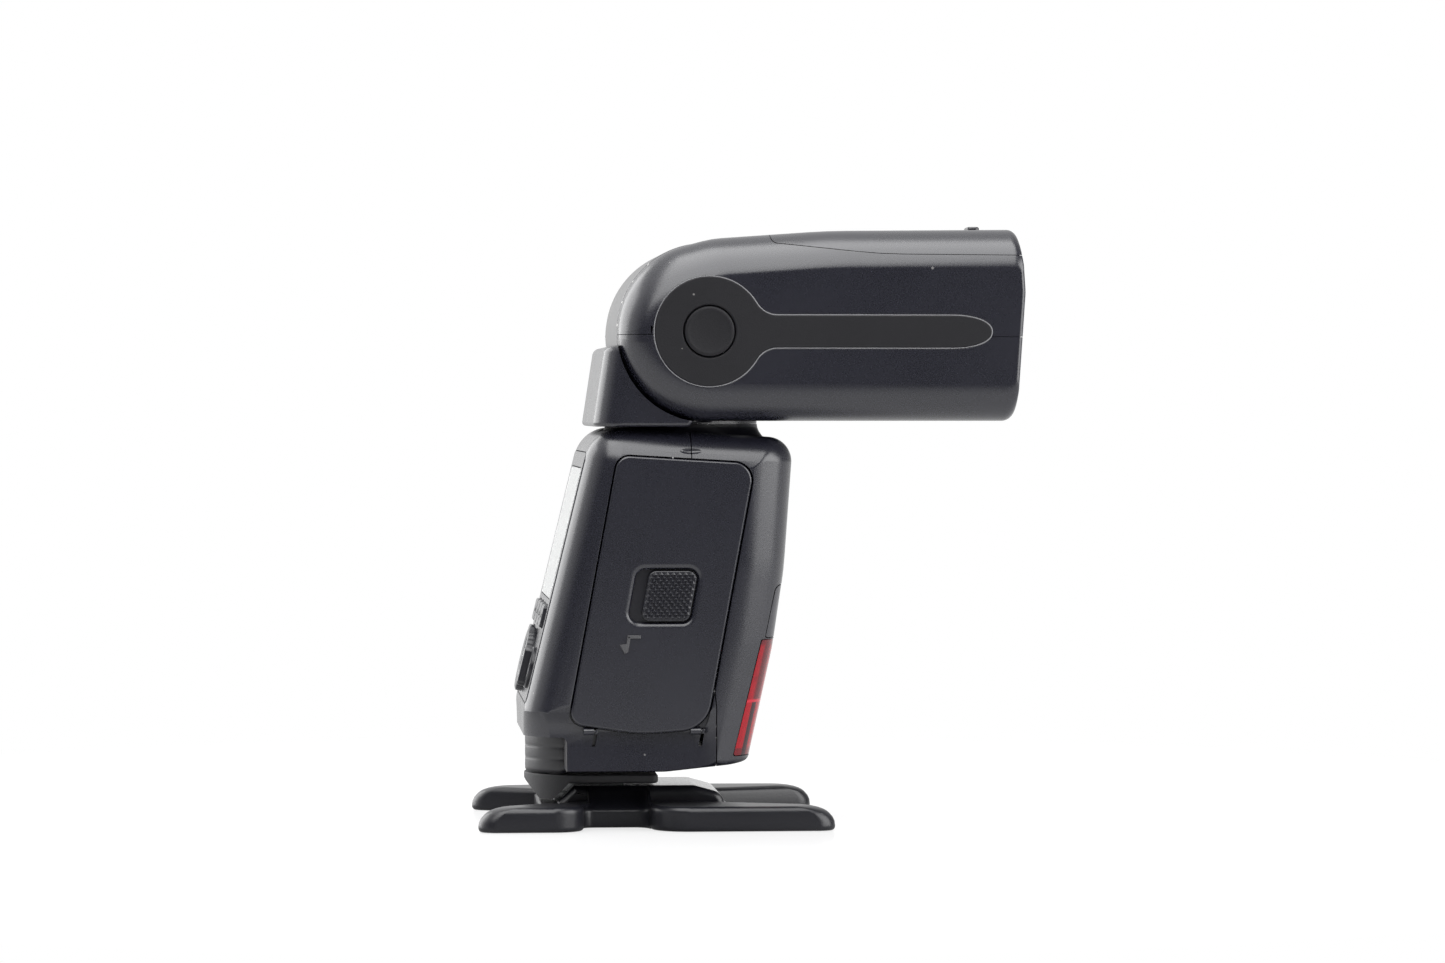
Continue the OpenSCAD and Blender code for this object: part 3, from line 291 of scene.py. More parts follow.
# in what mirrors: darker towards the camera, and a painted shadow right under the stand
dim_and_painted_shadow = remap(xyz(spot)[1], *CAMERA_SIDE_YS, CAMERA_SIDE_DIM, 0) | remap(away, *PAINTED_SHADOW_REACH, PAINTED_SHADOW_DIM, 0)
glow = add(tree, "ShaderNodeEmission", color=(1, 1, 1, 1), strength=1.0 - mirrored * dim_and_painted_shadow)
mixed = add(tree, "ShaderNodeMixShader")
for socket, value in zip(mixed.inputs, (seen * white | mirrored, sheen, glow)):
    feed(socket, value)
give(tree.nodes["Material Output"], surface=mixed)
floor.data.materials.append(paper)
print("floor at", round(floor.location.z / MM, 2), "mm")

# %% [markdown]
# ## Finishes
# Nearly everything on a flash is moulded plastic or rubber, and what tells the pieces apart is the grain of
# the mould, the sheen and the dust that soft rubber picks up. One function makes all of these from noise in
# Object coordinates, which stay put when a piece moves. Image textures would need unwrapping, and couldn't be
# changed by a number.

# %% Moulded plastics and rubbers
finishes = {}
DUST_CELLS = 330.0
DUST_SHARE = 0.22
DUST_COLOUR = (0.5, 0.49, 0.47)
BROAD_CELLS = 42.0
UNEVEN = (-0.02, 0.02)


def blend(share, first, second):
    """Colour between two others."""
    mixed = add(share.tree, "ShaderNodeMix", data_type="RGBA")
    feed(mixed.inputs[0], share)
    for socket, colour in ((mixed.inputs[6], first), (mixed.inputs[7], second)):
        feed(socket, (*colour, 1) if isinstance(colour, tuple) else colour)
    return Wire(mixed.outputs[2])


def new_finish(name):
    """Makes a material, and gives its shader and its Object coordinates."""
    finishes[name] = bpy.data.materials.new(name)
    finishes[name].use_nodes = True
    tree = finishes[name].node_tree
    return tree.nodes["Principled BSDF"], wire(tree, "ShaderNodeTexCoord", "Object")


def noise(place, scale, detail=2.0):
    """Noise with about scale cells to the metre."""
    return wire(place.tree, "ShaderNodeTexNoise", "Fac", vector=place, scale=scale, detail=detail)


def mottled(value, colour, dark, light):
    """Colour that wanders between a darker and a lighter shade of itself."""
    shades = (tuple(min(1.0, c * by) for c in colour) for by in (dark, light))
    return blend(remap(value, 0.3, 0.7, 0, 1), *shades)


def grain(height, strength, depth=0.0002):
    """Bump from a height."""
    return add(height.tree, "ShaderNodeBump", height=height, strength=strength, distance=depth)


def dusted(place, colour, amount):
    """Colour with light specks of dust on it."""
    cell = add(place.tree, "ShaderNodeTexVoronoi", vector=place, scale=DUST_CELLS)
    speck = Wire(cell.outputs["Distance"]) < remap(noise(place, 90.0), 0.35, 0.75, 0.03, 0.16)
    chosen = wire(place.tree, "ShaderNodeSeparateColor", color=cell.outputs["Color"]) > 1 - amount
    return blend(speck * chosen * DUST_SHARE, colour, DUST_COLOUR)


def moulded(name, colour, rough, grain_cells=2600.0, bump=0.12, specular=0.5, dust=0.0):
    """Moulded plastic or rubber: fine mould grain, slow changes of sheen, and dust if any."""
    shader, place = new_finish(name)
    broad, fine = noise(place, BROAD_CELLS, 4.0), noise(place, grain_cells, 3.0)
    tint = mottled(broad, colour, 0.94, 1.06)
    uneven = remap(broad, 0.2, 0.8, *UNEVEN) + remap(fine, 0.2, 0.8, *UNEVEN)
    give(shader, base_color=dusted(place, tint, dust) if dust else tint, roughness=uneven + rough,
         specular_ior_level=specular, normal=grain(fine, bump))


moulded("case_black", (0.0085, 0.0087, 0.0138), 0.28, bump=0.04, specular=0.75, dust=0.03)
moulded("trim_black", (0.0075, 0.0076, 0.0115), 0.3, bump=0.05, specular=0.7)
moulded("stand_black", (0.0065, 0.0066, 0.0095), 0.34, grain_cells=1800.0, bump=0.12)
moulded("key_black", (0.020, 0.0205, 0.0250), 0.28, bump=0.08)
moulded("skirt_rubber", (0.021, 0.021, 0.0235), 0.6, grain_cells=2000.0, bump=0.3, dust=0.05)
moulded("insert_rubber", (0.0055, 0.0054, 0.0072), 0.55, bump=0.15, specular=0.3, dust=0.3)
moulded("inner_grey", (0.035, 0.035, 0.038), 0.5)
moulded("white_card", (0.78, 0.78, 0.76), 0.45, bump=0.05)
moulded("mark_white", (0.75, 0.75, 0.73), 0.5, bump=0.05)
moulded("arrow_grey", (0.045, 0.045, 0.048), 0.4, bump=0.05)
# pale grey of the thin ring in the gap round each insert
moulded("dust_grey", (0.2, 0.2, 0.21), 0.7, bump=0.1)
print("moulded finishes", list(finishes))

# %% [markdown]
# The foot, its contacts, the pins and the shafts are metal. Rolled and turned metal shows fine marks along one
# direction, so the noise is stretched along an axis before it drives the sheen. Windows let light through, and
# printed sleeves and boards get bands of colour.

# %% Metals
METAL_CELLS = 900.0


def metal(name, colour, rough, along=(1.0, 1.0, 1.0)):
    """Metal with fine tool marks that run along an axis."""
    shader, place = new_finish(name)
    marks = noise(wire(place.tree, "ShaderNodeMapping", vector=place, scale=along), METAL_CELLS, 4.0)
    give(shader, base_color=mottled(noise(place, 60.0, 3.0), colour, 0.85, 1.05), metallic=1.0,
         roughness=remap(marks, 0.25, 0.75, rough - 0.08, rough + 0.1), normal=grain(marks, 0.15, 0.0001))


metal("foot_metal", (0.62, 0.63, 0.64), 0.3, (0.06, 1, 1))
metal("bright_steel", (0.66, 0.67, 0.69), 0.24, (1, 1, 0.1))
metal("turned_steel", (0.60, 0.61, 0.63), 0.27, (1, 0.08, 1))
metal("brass", (0.72, 0.52, 0.22), 0.28)
metal("gold", (0.90, 0.66, 0.28), 0.2)
metal("mirror", (0.88, 0.89, 0.90), 0.12, (0.2, 0.05, 1))
print("with metals", len(finishes))

# %% Windows and other finishes
PLASTIC_IOR = 1.49
CELL_LEAN = math.radians(-10.4)


def window(name, colour, rough, through):
    """Clear or tinted plastic with faint moulding streaks."""
    shader, place = new_finish(name)
    streaks = noise(place, 150.0, 3.0)
    give(shader, base_color=mottled(streaks, colour, 0.92, 1.05), transmission_weight=through, ior=PLASTIC_IOR,
         roughness=remap(streaks, 0.3, 0.7, rough, rough + 0.05))


def layered(name, colours, cells, rough, turn=0.0, axis=2):
    """Printed or built-up stuff: bands of colour along an axis, with a little noise."""
    shader, place = new_finish(name)
    along = xyz(wire(place.tree, "ShaderNodeMapping", vector=place, rotation=(0, turn, 0)))[axis]
    share = remap((along * cells).do("SINE"), -0.1, 0.1, 0, 1)
    speck = noise(place, 700.0, 3.0)
    give(shader, base_color=blend(share, *colours), normal=grain(speck, 0.05),
         roughness=remap(speck, 0.3, 0.7, rough - 0.06, rough + 0.06))


window("dark_window", (0.016, 0.016, 0.022), 0.26, 0.0)
window("clear_window", (0.93, 0.95, 0.96), 0.03, 0.95)
window("display_glass", (0.88, 0.91, 0.90), 0.03, 0.9)
window("tube_glass", (0.90, 0.95, 0.97), 0.02, 0.9)
window("diffuser", (0.90, 0.92, 0.93), 0.18, 0.8)
layered("display", ((0.33, 0.36, 0.33), (0.345, 0.375, 0.345)), 5200.0, 0.35)
layered("board_green", ((0.012, 0.075, 0.035), (0.016, 0.095, 0.045)), 2600.0, 0.4, axis=1)
layered("cell_wrap", ((0.50, 0.30, 0.07), (0.02, 0.02, 0.022)), 95.0, 0.28, CELL_LEAN)
layered("sleeve", ((0.016, 0.02, 0.035), (0.4, 0.4, 0.42)), 60.0, 0.32, CELL_LEAN)
print("with windows", len(finishes))

# %% [markdown]
# ## Shaping tools
# The casings are side outlines drawn out to both sides, with a different fillet along every edge. Bevelling a
# box by hand gives one width for all edges, so instead each ring of the skin is the outline with every edge
# moved in by its own fillet. Plates, keys and covers are outlines too, with a quarter round at their rim.

# %% Outlines


def unit(v):
    return v / np.linalg.norm(v)


def moved(corners, insets):
    """Corners (a, b, radius), anticlockwise, with edge i moved inwards by insets[i]."""
    c = np.array(corners, float)
    result = []
    for i in range(len(c)):
        before = unit(c[i, :2] - c[i - 1, :2])
        after = unit(c[(i + 1) % len(c), :2] - c[i, :2])
        normals = np.array([(-before[1], before[0]), (-after[1], after[0])])
        shift = np.linalg.solve(normals, (insets[i - 1], insets[i]))
        radius = max(0.3, c[i, 2] - min(insets[i - 1], insets[i]))
        result.append((*(c[i, :2] + shift), radius))
    return result


def arc(centre, radius, start, end, step=6.0):
    """Points along an arc, with its angles in degrees."""
    parts = max(2, math.ceil(abs(end - start) / step - 1e-6))
    angles = np.radians(np.linspace(start, end, parts + 1))
    return np.array(centre) + radius * np.stack((np.cos(angles), np.sin(angles)), axis=1)


def outline(corners, step=6.0):
    """Points of an outline with round corners."""
    c = np.array(corners, float)
    points = []
    for i in range(len(c)):
        p, radius = c[i, :2], c[i, 2]
        u, v = unit(c[i - 1, :2] - p), unit(c[(i + 1) % len(c), :2] - p)
        half = math.acos(np.clip(u @ v, -1, 1)) / 2
        centre = p + unit(u + v) * radius / math.sin(half)
        start, end = (p + d * radius / math.tan(half) - centre for d in (u, v))
        first = math.degrees(math.atan2(start[1], start[0]))
        turn = (math.degrees(math.atan2(end[1], end[0])) - first + 180) % 360 - 180
        points.extend(arc(centre, radius, first, first + turn, step))
    return np.array(points)


def offset(points, inset):
    """Outline moved inwards, or outwards where inset is negative."""
    p = np.array(points, float)
    before, after = p - np.roll(p, 1, axis=0), np.roll(p, -1, axis=0) - p
    area = (p[:, 0] * np.roll(p[:, 1], -1) - p[:, 1] * np.roll(p[:, 0], -1)).sum()
    a, b = (np.stack((-d[:, 1], d[:, 0]), axis=1) / np.linalg.norm(d, axis=1)[:, None] for d in (before, after))
    shift = (a + b) / (1 + (a * b).sum(1, keepdims=True))
    return p + inset * math.copysign(1, area) * shift


def disc(centre, radius, sides=72):
    """Round outline."""
    return arc(centre, radius, 0, 360 - 360 / sides, 360 / sides)


def round_rect(centre, width, height, radius, slope=0.0, step=15.0):
    """Outline of a rectangle with round corners, which leans where it is given a slope."""
    (a, b), x, y, lean = centre, width / 2, height / 2, height / 2 * slope
    return outline([(a - x - lean, b - y, radius), (a + x - lean, b - y, radius), (a + x + lean, b + y, radius),
                    (a - x + lean, b + y, radius)], step)


# %% Skins


def face_outwards(mesh):
    """Turns a closed mesh so that its faces point outwards."""
    bm = bmesh.new()
    bm.from_mesh(mesh)
    if bm.calc_volume(signed=True) < 0:
        bmesh.ops.reverse_faces(bm, faces=bm.faces)
    bm.to_mesh(mesh)
    bm.free()


def skin(name, rings, capped=True):
    """Object skinned over rings of equal point counts. Uncapped, its last ring meets its first."""
    rings = np.array(rings, float)
    levels, count = rings.shape[:2]
    index = np.arange(levels * count).reshape(levels, count)
    ahead = np.roll(index, -1, axis=1)
    faces = []
    for j in range(levels - 1 if capped else levels):
        k = (j + 1) % levels
        faces += np.stack((index[j], ahead[j], ahead[k], index[k]), axis=1).tolist()
    if capped:
        faces += [index[0][::-1].tolist(), index[-1].tolist()]
    mesh = bpy.data.meshes.new(name)
    mesh.from_pydata((rings.reshape(-1, 3) * MM).tolist(), [], faces)
    face_outwards(mesh)
    made = bpy.data.objects.new(name, mesh)
    scene.collection.objects.link(made)
    return made


def on_side(a, b, h):
    """Side view: a along X, b up, h along Y."""
    return a, h, b


def on_plan(a, b, h):
    """Plan: a along X, b along Y, h up."""
    return a, b, h


def on_front(a, b, h):
    """Front view: a along Y, b up, h along X."""
    return h, a, b


# %% Plates and tools
REACH = 60.0


def stack(name, points, levels, place):
    """Skin over one outline, given as (inset, height) levels."""
    return skin(name, [[place(*p, h) for p in offset(points, inset)] for inset, h in levels])


def quarter(edge, height, towards, steps=4):
    """Levels of a quarter-round rim that ends at a height."""
    turns = np.linspace(0, math.pi / 2, steps + 1)
    return [(edge * (1 - math.cos(t)), height - towards * edge * (1 - math.sin(t))) for t in turns]


def plate(name, points, low, high, edge=0.3, foot_edge=0.0, place=on_side):
    """Plate between two heights with a round rim on its high side, and on its low side where asked."""
    towards = 1 if high > low else -1
    foot = quarter(foot_edge, low, -towards)[::-1] if foot_edge else [(0, low)]
    return stack(name, points, foot + quarter(edge, high, towards), place)


def prism(points, low=-REACH, high=REACH):
    """Tool with one outline in the side view."""
    return plate("tool", points, low, high, 0.01)


def cutter(points, deep, surface, soft=0.3, place=on_side, beyond=3.0):
    """Tool for a pocket or a hole whose mouth is rounded where it meets a surface."""
    towards = 1 if surface > deep else -1
    mouth = [(-(soft - math.sqrt(soft ** 2 - (soft - s) ** 2)), surface - towards * s)
             for s in np.linspace(soft, 0, 5)]
    return stack("tool", points, [(0, deep), *mouth, (mouth[-1][0], surface + towards * beyond)], place)


def box(low, high, name="tool"):
    """Plain box between two corners."""
    (x0, y0, z0), (x1, y1, z1) = low, high
    return skin(name, [[(x0, y0, z), (x1, y0, z), (x1, y1, z), (x0, y1, z)] for z in (z0, z1)])


# %% Turned shapes


def lathe(name, profile, centre, place, closed=False, sides=72):
    """Profile of (radius, height) turned about an axis."""
    turns = np.linspace(0, 2 * math.pi, sides, endpoint=False)
    rings = [[place(centre[0] + r * math.cos(t), centre[1] + r * math.sin(t), h) for t in turns]
             for r, h in profile]
    return skin(name, rings, capped=not closed)


def rod(radius, low, high, centre, place=on_plan, sides=72):
    """Plain cylinder between two heights."""
    return lathe("rod", [(radius, low), (radius, high)], centre, place, sides=sides)


# %% [markdown]
# Shapes are cut and joined with Boolean modifiers, which are turned into plain meshes at once. A finished piece
# gets even normals, its finish, the body that it rides on, and the CAD nodes that it stands in for.

# %% Cutting and finishing
MERGE = 1e-7


def settle(made):
    """Turns what the modifiers give into the object's own plain mesh."""
    bpy.context.view_layer.update()
    graph = bpy.context.evaluated_depsgraph_get()
    mesh = bpy.data.meshes.new_from_object(made.evaluated_get(graph))
    made.modifiers.clear()
    old, made.data = made.data, mesh
    bpy.data.meshes.remove(old)
    return made


def combine(operation, made, *tools, keep=False):
    """Joins, cuts or intersects closed objects."""
    for tool in tools:
        step = made.modifiers.new(operation, "BOOLEAN")
        step.operation = operation
        step.solver = "MANIFOLD"
        step.object = tool
    settle(made)
    if not keep:
        for tool in tools:
            bpy.data.objects.remove(tool)
    return made


def union(made, *tools):
    return combine("UNION", made, *tools)


def cut(made, *tools, keep=False):
    return combine("DIFFERENCE", made, *tools, keep=keep)


def common(made, *tools):
    return combine("INTERSECT", made, *tools)


def copy_of(made, name):
    """Second object with its own mesh."""
    twin = bpy.data.objects.new(name, made.data.copy())
    scene.collection.objects.link(twin)
    return twin


def gather(made, *others):
    """Puts closed parts of one piece into one mesh, without cutting them into each other."""
    bm = bmesh.new()
    for part in (made, *others):
        bm.from_mesh(part.data)
    bm.to_mesh(made.data)
    bm.free()
    for part in others:
        bpy.data.objects.remove(part)
    return made


def piece(made, name, finish, body, *nodes, sharp=32.0):
    """Smooths a shape, gives it its finish, and has it ride on a body in place of CAD nodes."""
    made.name = name
    mesh = made.data
    bm = bmesh.new()
    bm.from_mesh(mesh)
    bmesh.ops.remove_doubles(bm, verts=bm.verts, dist=MERGE)
    bmesh.ops.dissolve_degenerate(bm, edges=bm.edges, dist=MERGE)
    bm.to_mesh(mesh)
    bm.free()
    mesh.shade_smooth()
    mesh.set_sharp_from_angle(angle=math.radians(sharp))
    even = made.modifiers.new("even", "WEIGHTED_NORMAL")
    even.keep_sharp = True
    settle(made)
    made.data.name = name
    made.data.materials.clear()
    made.data.materials.append(finishes[finish])
    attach(made, body)
    if nodes:
        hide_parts(*nodes)
    print(name, len(made.data.polygons), "faces")
    return made


print("tools ready")

# %% [markdown]
# ## Stand
# The stand is one moulding: four feet, a block and a deck with the shoe. Each foot is the outline round a small
# and a large circle. Its rings draw the small circle back as they rise, which gives the ski-like tips of the
# real one. A bevel would round the tips no more than the sides. A web slopes up to the deck on each side, and
# runs into the feet in a hollow curve.

# %% Stand tools
stand_low, stand_high = span("stand_base")
DECK_HALF = 15.0
FOOT_H = 6.0
FOOT_LEVELS = (0, 0.25, 0.7, 1.2, 2.2, 3.2, 4.2, 4.7, 5.1, 5.5, 5.8, 5.95, FOOT_H)
SOLE_INSET, SOLE_H = 0.5, 0.7
TIP_R, TIP_RISE, TIP_SLIDE = 4.5, 1.2, 7.0
FOOT_ROUND = 1.3
REAR_ROOT, FRONT_ROOT = (-25.2, 7.5), (8.0, 9.5)
REAR_COVE, FRONT_COVE = 3.0, 4.0
WEB_Y = 24.0
WEB_FOOT_XS = (REAR_ROOT[0], FRONT_ROOT[0])
WEB_TOP_XS = (-16.0, -1.0)
WEB_SLOPE = ((0.5, 0), (0.1, 0.3), (0, 0.8), (0, 3.8), (0.3, 4.4), (1.0, 5.0), (2.6, 6.0), (4.6, 7.2),
             (6.8, 8.4), (9.0, 9.4))


def bean(tip, tip_r, root, root_r, count=22):
    """Outline round two circles."""
    way = np.array(root) - np.array(tip)
    turn = math.degrees(math.atan2(way[1], way[0]))
    spread = math.degrees(math.acos((tip_r - root_r) / np.linalg.norm(way)))
    return np.concatenate((arc(tip, tip_r, turn + spread, turn + 360 - spread, (360 - 2 * spread) / count),
                           arc(root, root_r, turn - spread, turn + spread, 2 * spread / count)))


def foot(end, side):
    """One foot of the stand."""
    root_x, root_r = FRONT_ROOT if end > 0 else REAR_ROOT
    reach = stand_high[0] if end > 0 else -stand_low[0]
    tip = np.array((end * (reach - TIP_R), side * (stand_high[1] - TIP_R)))
    root = np.array((root_x, side * (stand_high[1] - root_r)))
    rings = []
    for z in FOOT_LEVELS:
        near_floor = SOLE_INSET * max(0.0, 1 - z / SOLE_H) ** 2
        near_top = max(0.0, (z - FOOT_H + FOOT_ROUND) / FOOT_ROUND)
        inset = near_floor + FOOT_ROUND * (1 - math.sqrt(1 - near_top ** 2))
        rise = max(0.0, (z - TIP_RISE) / (FOOT_H - TIP_RISE))
        drawn = TIP_SLIDE * (1 - math.sqrt(1 - rise ** 2)) * unit(root - tip)
        rings.append([on_plan(*p, z) for p in bean(tip + drawn, TIP_R - inset, root, root_r - inset)])
    return skin("foot", rings)


def cove(root, radius, end):
    """Hollow curve that runs from the web's face into the round root of a foot."""
    root_x, root_r = root
    rise = stand_high[1] - root_r - WEB_Y - radius
    run = math.sqrt((root_r + radius) ** 2 - rise ** 2)
    turn = math.degrees(math.atan2(-rise, end * run)) % 360
    return arc((root_x - end * run, -WEB_Y - radius), radius, *((turn, 90) if end < 0 else (90, turn)))


def web(side):
    """Web between the two feet on one side, which slopes up to the deck."""
    rear, front = cove(REAR_ROOT, REAR_COVE, -1), cove(FRONT_ROOT, FRONT_COVE, 1)
    face = [(REAR_ROOT[0], rear[0][1]), *rear, *front, (FRONT_ROOT[0], front[-1][1])]
    rings = []
    for back, z in WEB_SLOPE:
        low_x, high_x = WEB_FOOT_XS if z < FOOT_H - 0.5 else WEB_TOP_XS
        edge = [(min(high_x, max(low_x, x)), min(y + back, -DECK_HALF - 0.1)) for x, y in face]
        rings.append([on_plan(x, -side * y, z) for x, y in (*edge, (high_x, 0), (low_x, 0))])
    return skin("web", rings)


print("stand from", stand_low.round(1), "to", stand_high.round(1))

# %% [markdown]
# The shoe's slot is cut last, with a little play round the metal foot. The deck's top gets a paler, mottled and
# glossier finish. A mask by height and width keeps it on the deck.

# %% Stand
shoe_low, shoe_high = span("mounting_foot")
_, insert_high = span("thread_insert")
SHOE_PLAY = 0.1
SHOE_T = 2.0
NECK_HALF = 6.2
PIN_HOLE_R, PIN_HOLE_AHEAD = 1.5, 6.0
# paler, mottled and glossier top of the deck: its width, heights, colours and roughness
PALE_TOP_HALF = DECK_HALF - 1.7
PALE_TOP_FROM, PALE_TOP_TO = FOOT_H + 0.3, FOOT_H + 0.9
PALE_TOP_DARK, PALE_TOP_LIGHT = (0.08, 0.08, 0.085), (0.3, 0.3, 0.31)
PALE_TOP_ROUGH = 0.14

rail_z = shoe_low[2] + SHOE_T + SHOE_PLAY
slot_floor = shoe_low[2] - SHOE_PLAY
slot_front = shoe_high[0] + SHOE_PLAY
foot_half = shoe_high[1] + SHOE_PLAY
deck_rear, deck_front, deck_top = shoe_low[0] + 0.7, 17.8, stand_high[2]
deck_side = outline([(deck_rear, 0.0, 0.1), (deck_front, 0.0, 0.1), (deck_front + 0.1, 7.4, 3.4),
                     (10.3, deck_top, 4.0), (deck_rear + 4, deck_top, 1.0), (deck_rear, rail_z - 2, 0.4)])
stand = plate("stand", round_rect((-4.5, 0), 47, 46, 2.0), 0, FOOT_H - 1, 1.0, place=on_plan)
union(stand, plate("deck", deck_side, -DECK_HALF, DECK_HALF, 1.8, 1.8))
for side in (-1, 1):
    union(stand, web(side), foot(-1, side), foot(1, side))
pin_hole = axis_place("lock_turn")[:2] + (PIN_HOLE_AHEAD, 0)
cut(stand, box((-REACH, -foot_half, slot_floor), (slot_front, foot_half, rail_z)),
    box((-REACH, -NECK_HALF, slot_floor), (slot_front, NECK_HALF, 20)),
    rod(insert_high[0] + 0.05, -1, insert_high[2] + 0.2, (0, 0)),
    rod(PIN_HOLE_R, shoe_low[2] - 2, 8, pin_hole))

tree = finishes["stand_black"].node_tree
shader = tree.nodes["Principled BSDF"]
place = wire(tree, "ShaderNodeTexCoord", "Object")
_, across, height = xyz(place)
# paler, mottled top of the deck, above a height and within a width
pale_deck_top = (abs(across) < PALE_TOP_HALF * MM) * remap(height, PALE_TOP_FROM * MM, PALE_TOP_TO * MM, 0, 1)
pale_top_colour = blend(remap(noise(place, 1500.0, 3.0), 0.35, 0.65, 0, 1), PALE_TOP_DARK, PALE_TOP_LIGHT)
plain_colour, plain_rough = (shader.inputs[label].links[0].from_socket for label in ("Base Color", "Roughness"))
give(shader, base_color=blend(pale_deck_top, plain_colour, pale_top_colour), roughness=remap(pale_deck_top, 0, 1, plain_rough, PALE_TOP_ROUGH))
piece(stand, "stand_moulding", "stand_black", "stand", "stand_base")

# %% [markdown]
# ## Foot
# Above the shoe sits a rubber skirt that keeps water out, and behind it the round nose with the lock lever. The
# lever is a short arc, so its ribbed profile is swept round the lever's own axis. The grooves are part of the
# profile: cutting them out one by one would leave more edges to clean.

# %% Skirt and nose
nose_x = axis_place("lock_turn")[0]
skirt_low, skirt_high = span("foot_skirt")
_, lever_high = span("lock_lever")
nose_low, _ = span("foot_base")
NOSE_R, CORE_R = 16.5, 11.0
SKIRT_T, SKIRT_DROP = 3.9, 1.8
SKIRT_CORNER = 16.2
LUG_SINK = 0.8
SPLIT = 0.35

skirt_z, skirt_top = skirt_high[2] - SKIRT_T, skirt_high[2] - SKIRT_DROP
skirt_plan = outline([(skirt_low[0], skirt_low[1], SKIRT_CORNER), (skirt_high[0], skirt_low[1], 1.5),
                      (skirt_high[0], skirt_high[1], 1.5), (skirt_low[0], skirt_high[1], SKIRT_CORNER)], 4.0)
lug_side = [(skirt_low[0] - 0.3, skirt_z + LUG_SINK, 0.5), (deck_rear - 4.4, skirt_low[2], 0.5),
            (deck_rear - 1.2, skirt_low[2], 0.5), (deck_rear + 3.4, skirt_z + LUG_SINK, 0.5)]
lug = common(plate("lug", outline(lug_side), -NOSE_R, NOSE_R, 0.3),
             plate("tool", skirt_plan, 0, 30, 0.1, place=on_plan))
skirt = union(plate("skirt", skirt_plan, skirt_z, skirt_top, 0.35, 0.7, on_plan), lug)
cut(skirt, box((shoe_low[0] + 0.8, -NECK_HALF - 0.1, 0), (shoe_high[0] - 0.8, NECK_HALF + 0.1, 30)),
    box((deck_rear - 0.6, -foot_half - 0.4, 0), (shoe_high[0] + 20, foot_half + 0.4, skirt_z)))
piece(skirt, "foot_skirt_rubber", "skirt_rubber", "flash_body", "foot_skirt")

cap_z = lever_high[2] + SPLIT
core_profile = [(CORE_R - 0.4, nose_low[2]), (CORE_R, nose_low[2] + 0.4), (CORE_R, cap_z + 1)]
core = lathe("core", core_profile, (nose_x, 0), on_plan)
piece(core, "foot_nose", "trim_black", "flash_body", "foot_base")

# %% Lock lever
LEVER_FROM, LEVER_TO = 188.0, 246.0
LEVER_RIBS = 3
LEVER_RINGS = 33
END_ROUND = 0.4
GROOVE = 0.07


def lever_profile(inset):
    """Cross-section (radius, height) of the lever, with ribs on its outer face."""
    low, high = skirt_top + SPLIT + inset, lever_high[2] - inset
    heights = np.linspace(low + 0.5, high - 0.5, 8 * LEVER_RIBS + 1)
    share = (heights - heights[0]) / (heights[-1] - heights[0])
    wave = np.abs(np.sin(share * LEVER_RIBS * math.pi)) ** 0.3
    outer = [(NOSE_R - inset - GROOVE * (1 - w), z) for w, z in zip(wave, heights)]
    back, rim = CORE_R + 0.4 + inset, NOSE_R - inset - GROOVE - 0.4
    return [(back, low), (rim, low), *outer, (rim, high), (back, high)]


rings = []
for share in np.linspace(0, 1, LEVER_RINGS):
    turn = math.radians(LEVER_FROM + (LEVER_TO - LEVER_FROM) * share)
    near_end = max(0.0, 1 - min(share, 1 - share) * LEVER_RINGS / 1.5)
    rings.append([(nose_x + r * math.cos(turn), r * math.sin(turn), z)
                  for r, z in lever_profile(END_ROUND * near_end)])
piece(skin("lever", rings), "lock_lever_ribbed", "trim_black", "lock_lever", "lock_lever")

# %% [markdown]
# ## Body shells
# The body is a front and a rear shell that meet at a parting line down each side. Both are cut from one hollow
# block: the pockets and holes are cut first, with rounded mouths, and the two halves are split last, so that
# every edge runs on across the seam. Modelling the halves apart would risk a step there.

# %% Filleted block
ROUND = 2.0


def block(name, corners, half, fillets, walls=None, rings=16):
    """Side outline drawn out to both sides. A fillet is a radius, or its width, its drop and its fullness."""
    walls = walls if walls is not None else [0.0] * len(corners)
    end = half - max(walls)
    curves = [fillet if isinstance(fillet, tuple) else (fillet, fillet, ROUND) for fillet in fillets]
    curves = [(max(0.4, w - max(walls)), max(0.4, d - max(walls)), full) for w, d, full in curves]
    depths = max(w for w, _, _ in curves) * (1 - np.cos(np.linspace(0, math.pi, rings + 1))) / 2
    levels = []
    for y in (*(depths - end), *(end - depths[::-1])):
        insets = []
        for wall, (width, drop, full) in zip(walls, curves):
            past = min(1.0, max(0.0, (abs(y) - end) / width + 1))
            insets.append(wall + drop * (1 - (1 - past ** full) ** (1 / full)))
        levels.append([on_side(*p, y) for p in outline(moved(corners, insets))])
    return skin(name, levels)


# %% Body block
body_low, body_high = span("body_front_shell", "body_rear_shell")
body_z, body_top, body_half = body_low[2], body_high[2], body_high[1]
WALL = 2.0
PANEL_LEAN = math.radians(13.65)
TOP_RISE = 1.1
REAR_TOP_X = -15.9
CHIN = (22.7, body_z + 2.2)
CHEEK = (28.8, body_z + 30)
FRONT_SLOPE = (CHEEK[0] - CHIN[0]) / (CHEEK[1] - CHIN[1])
BODY_FILLETS = [3, 3, 11.5, 11.5, 11.5, 9, 9, 9]

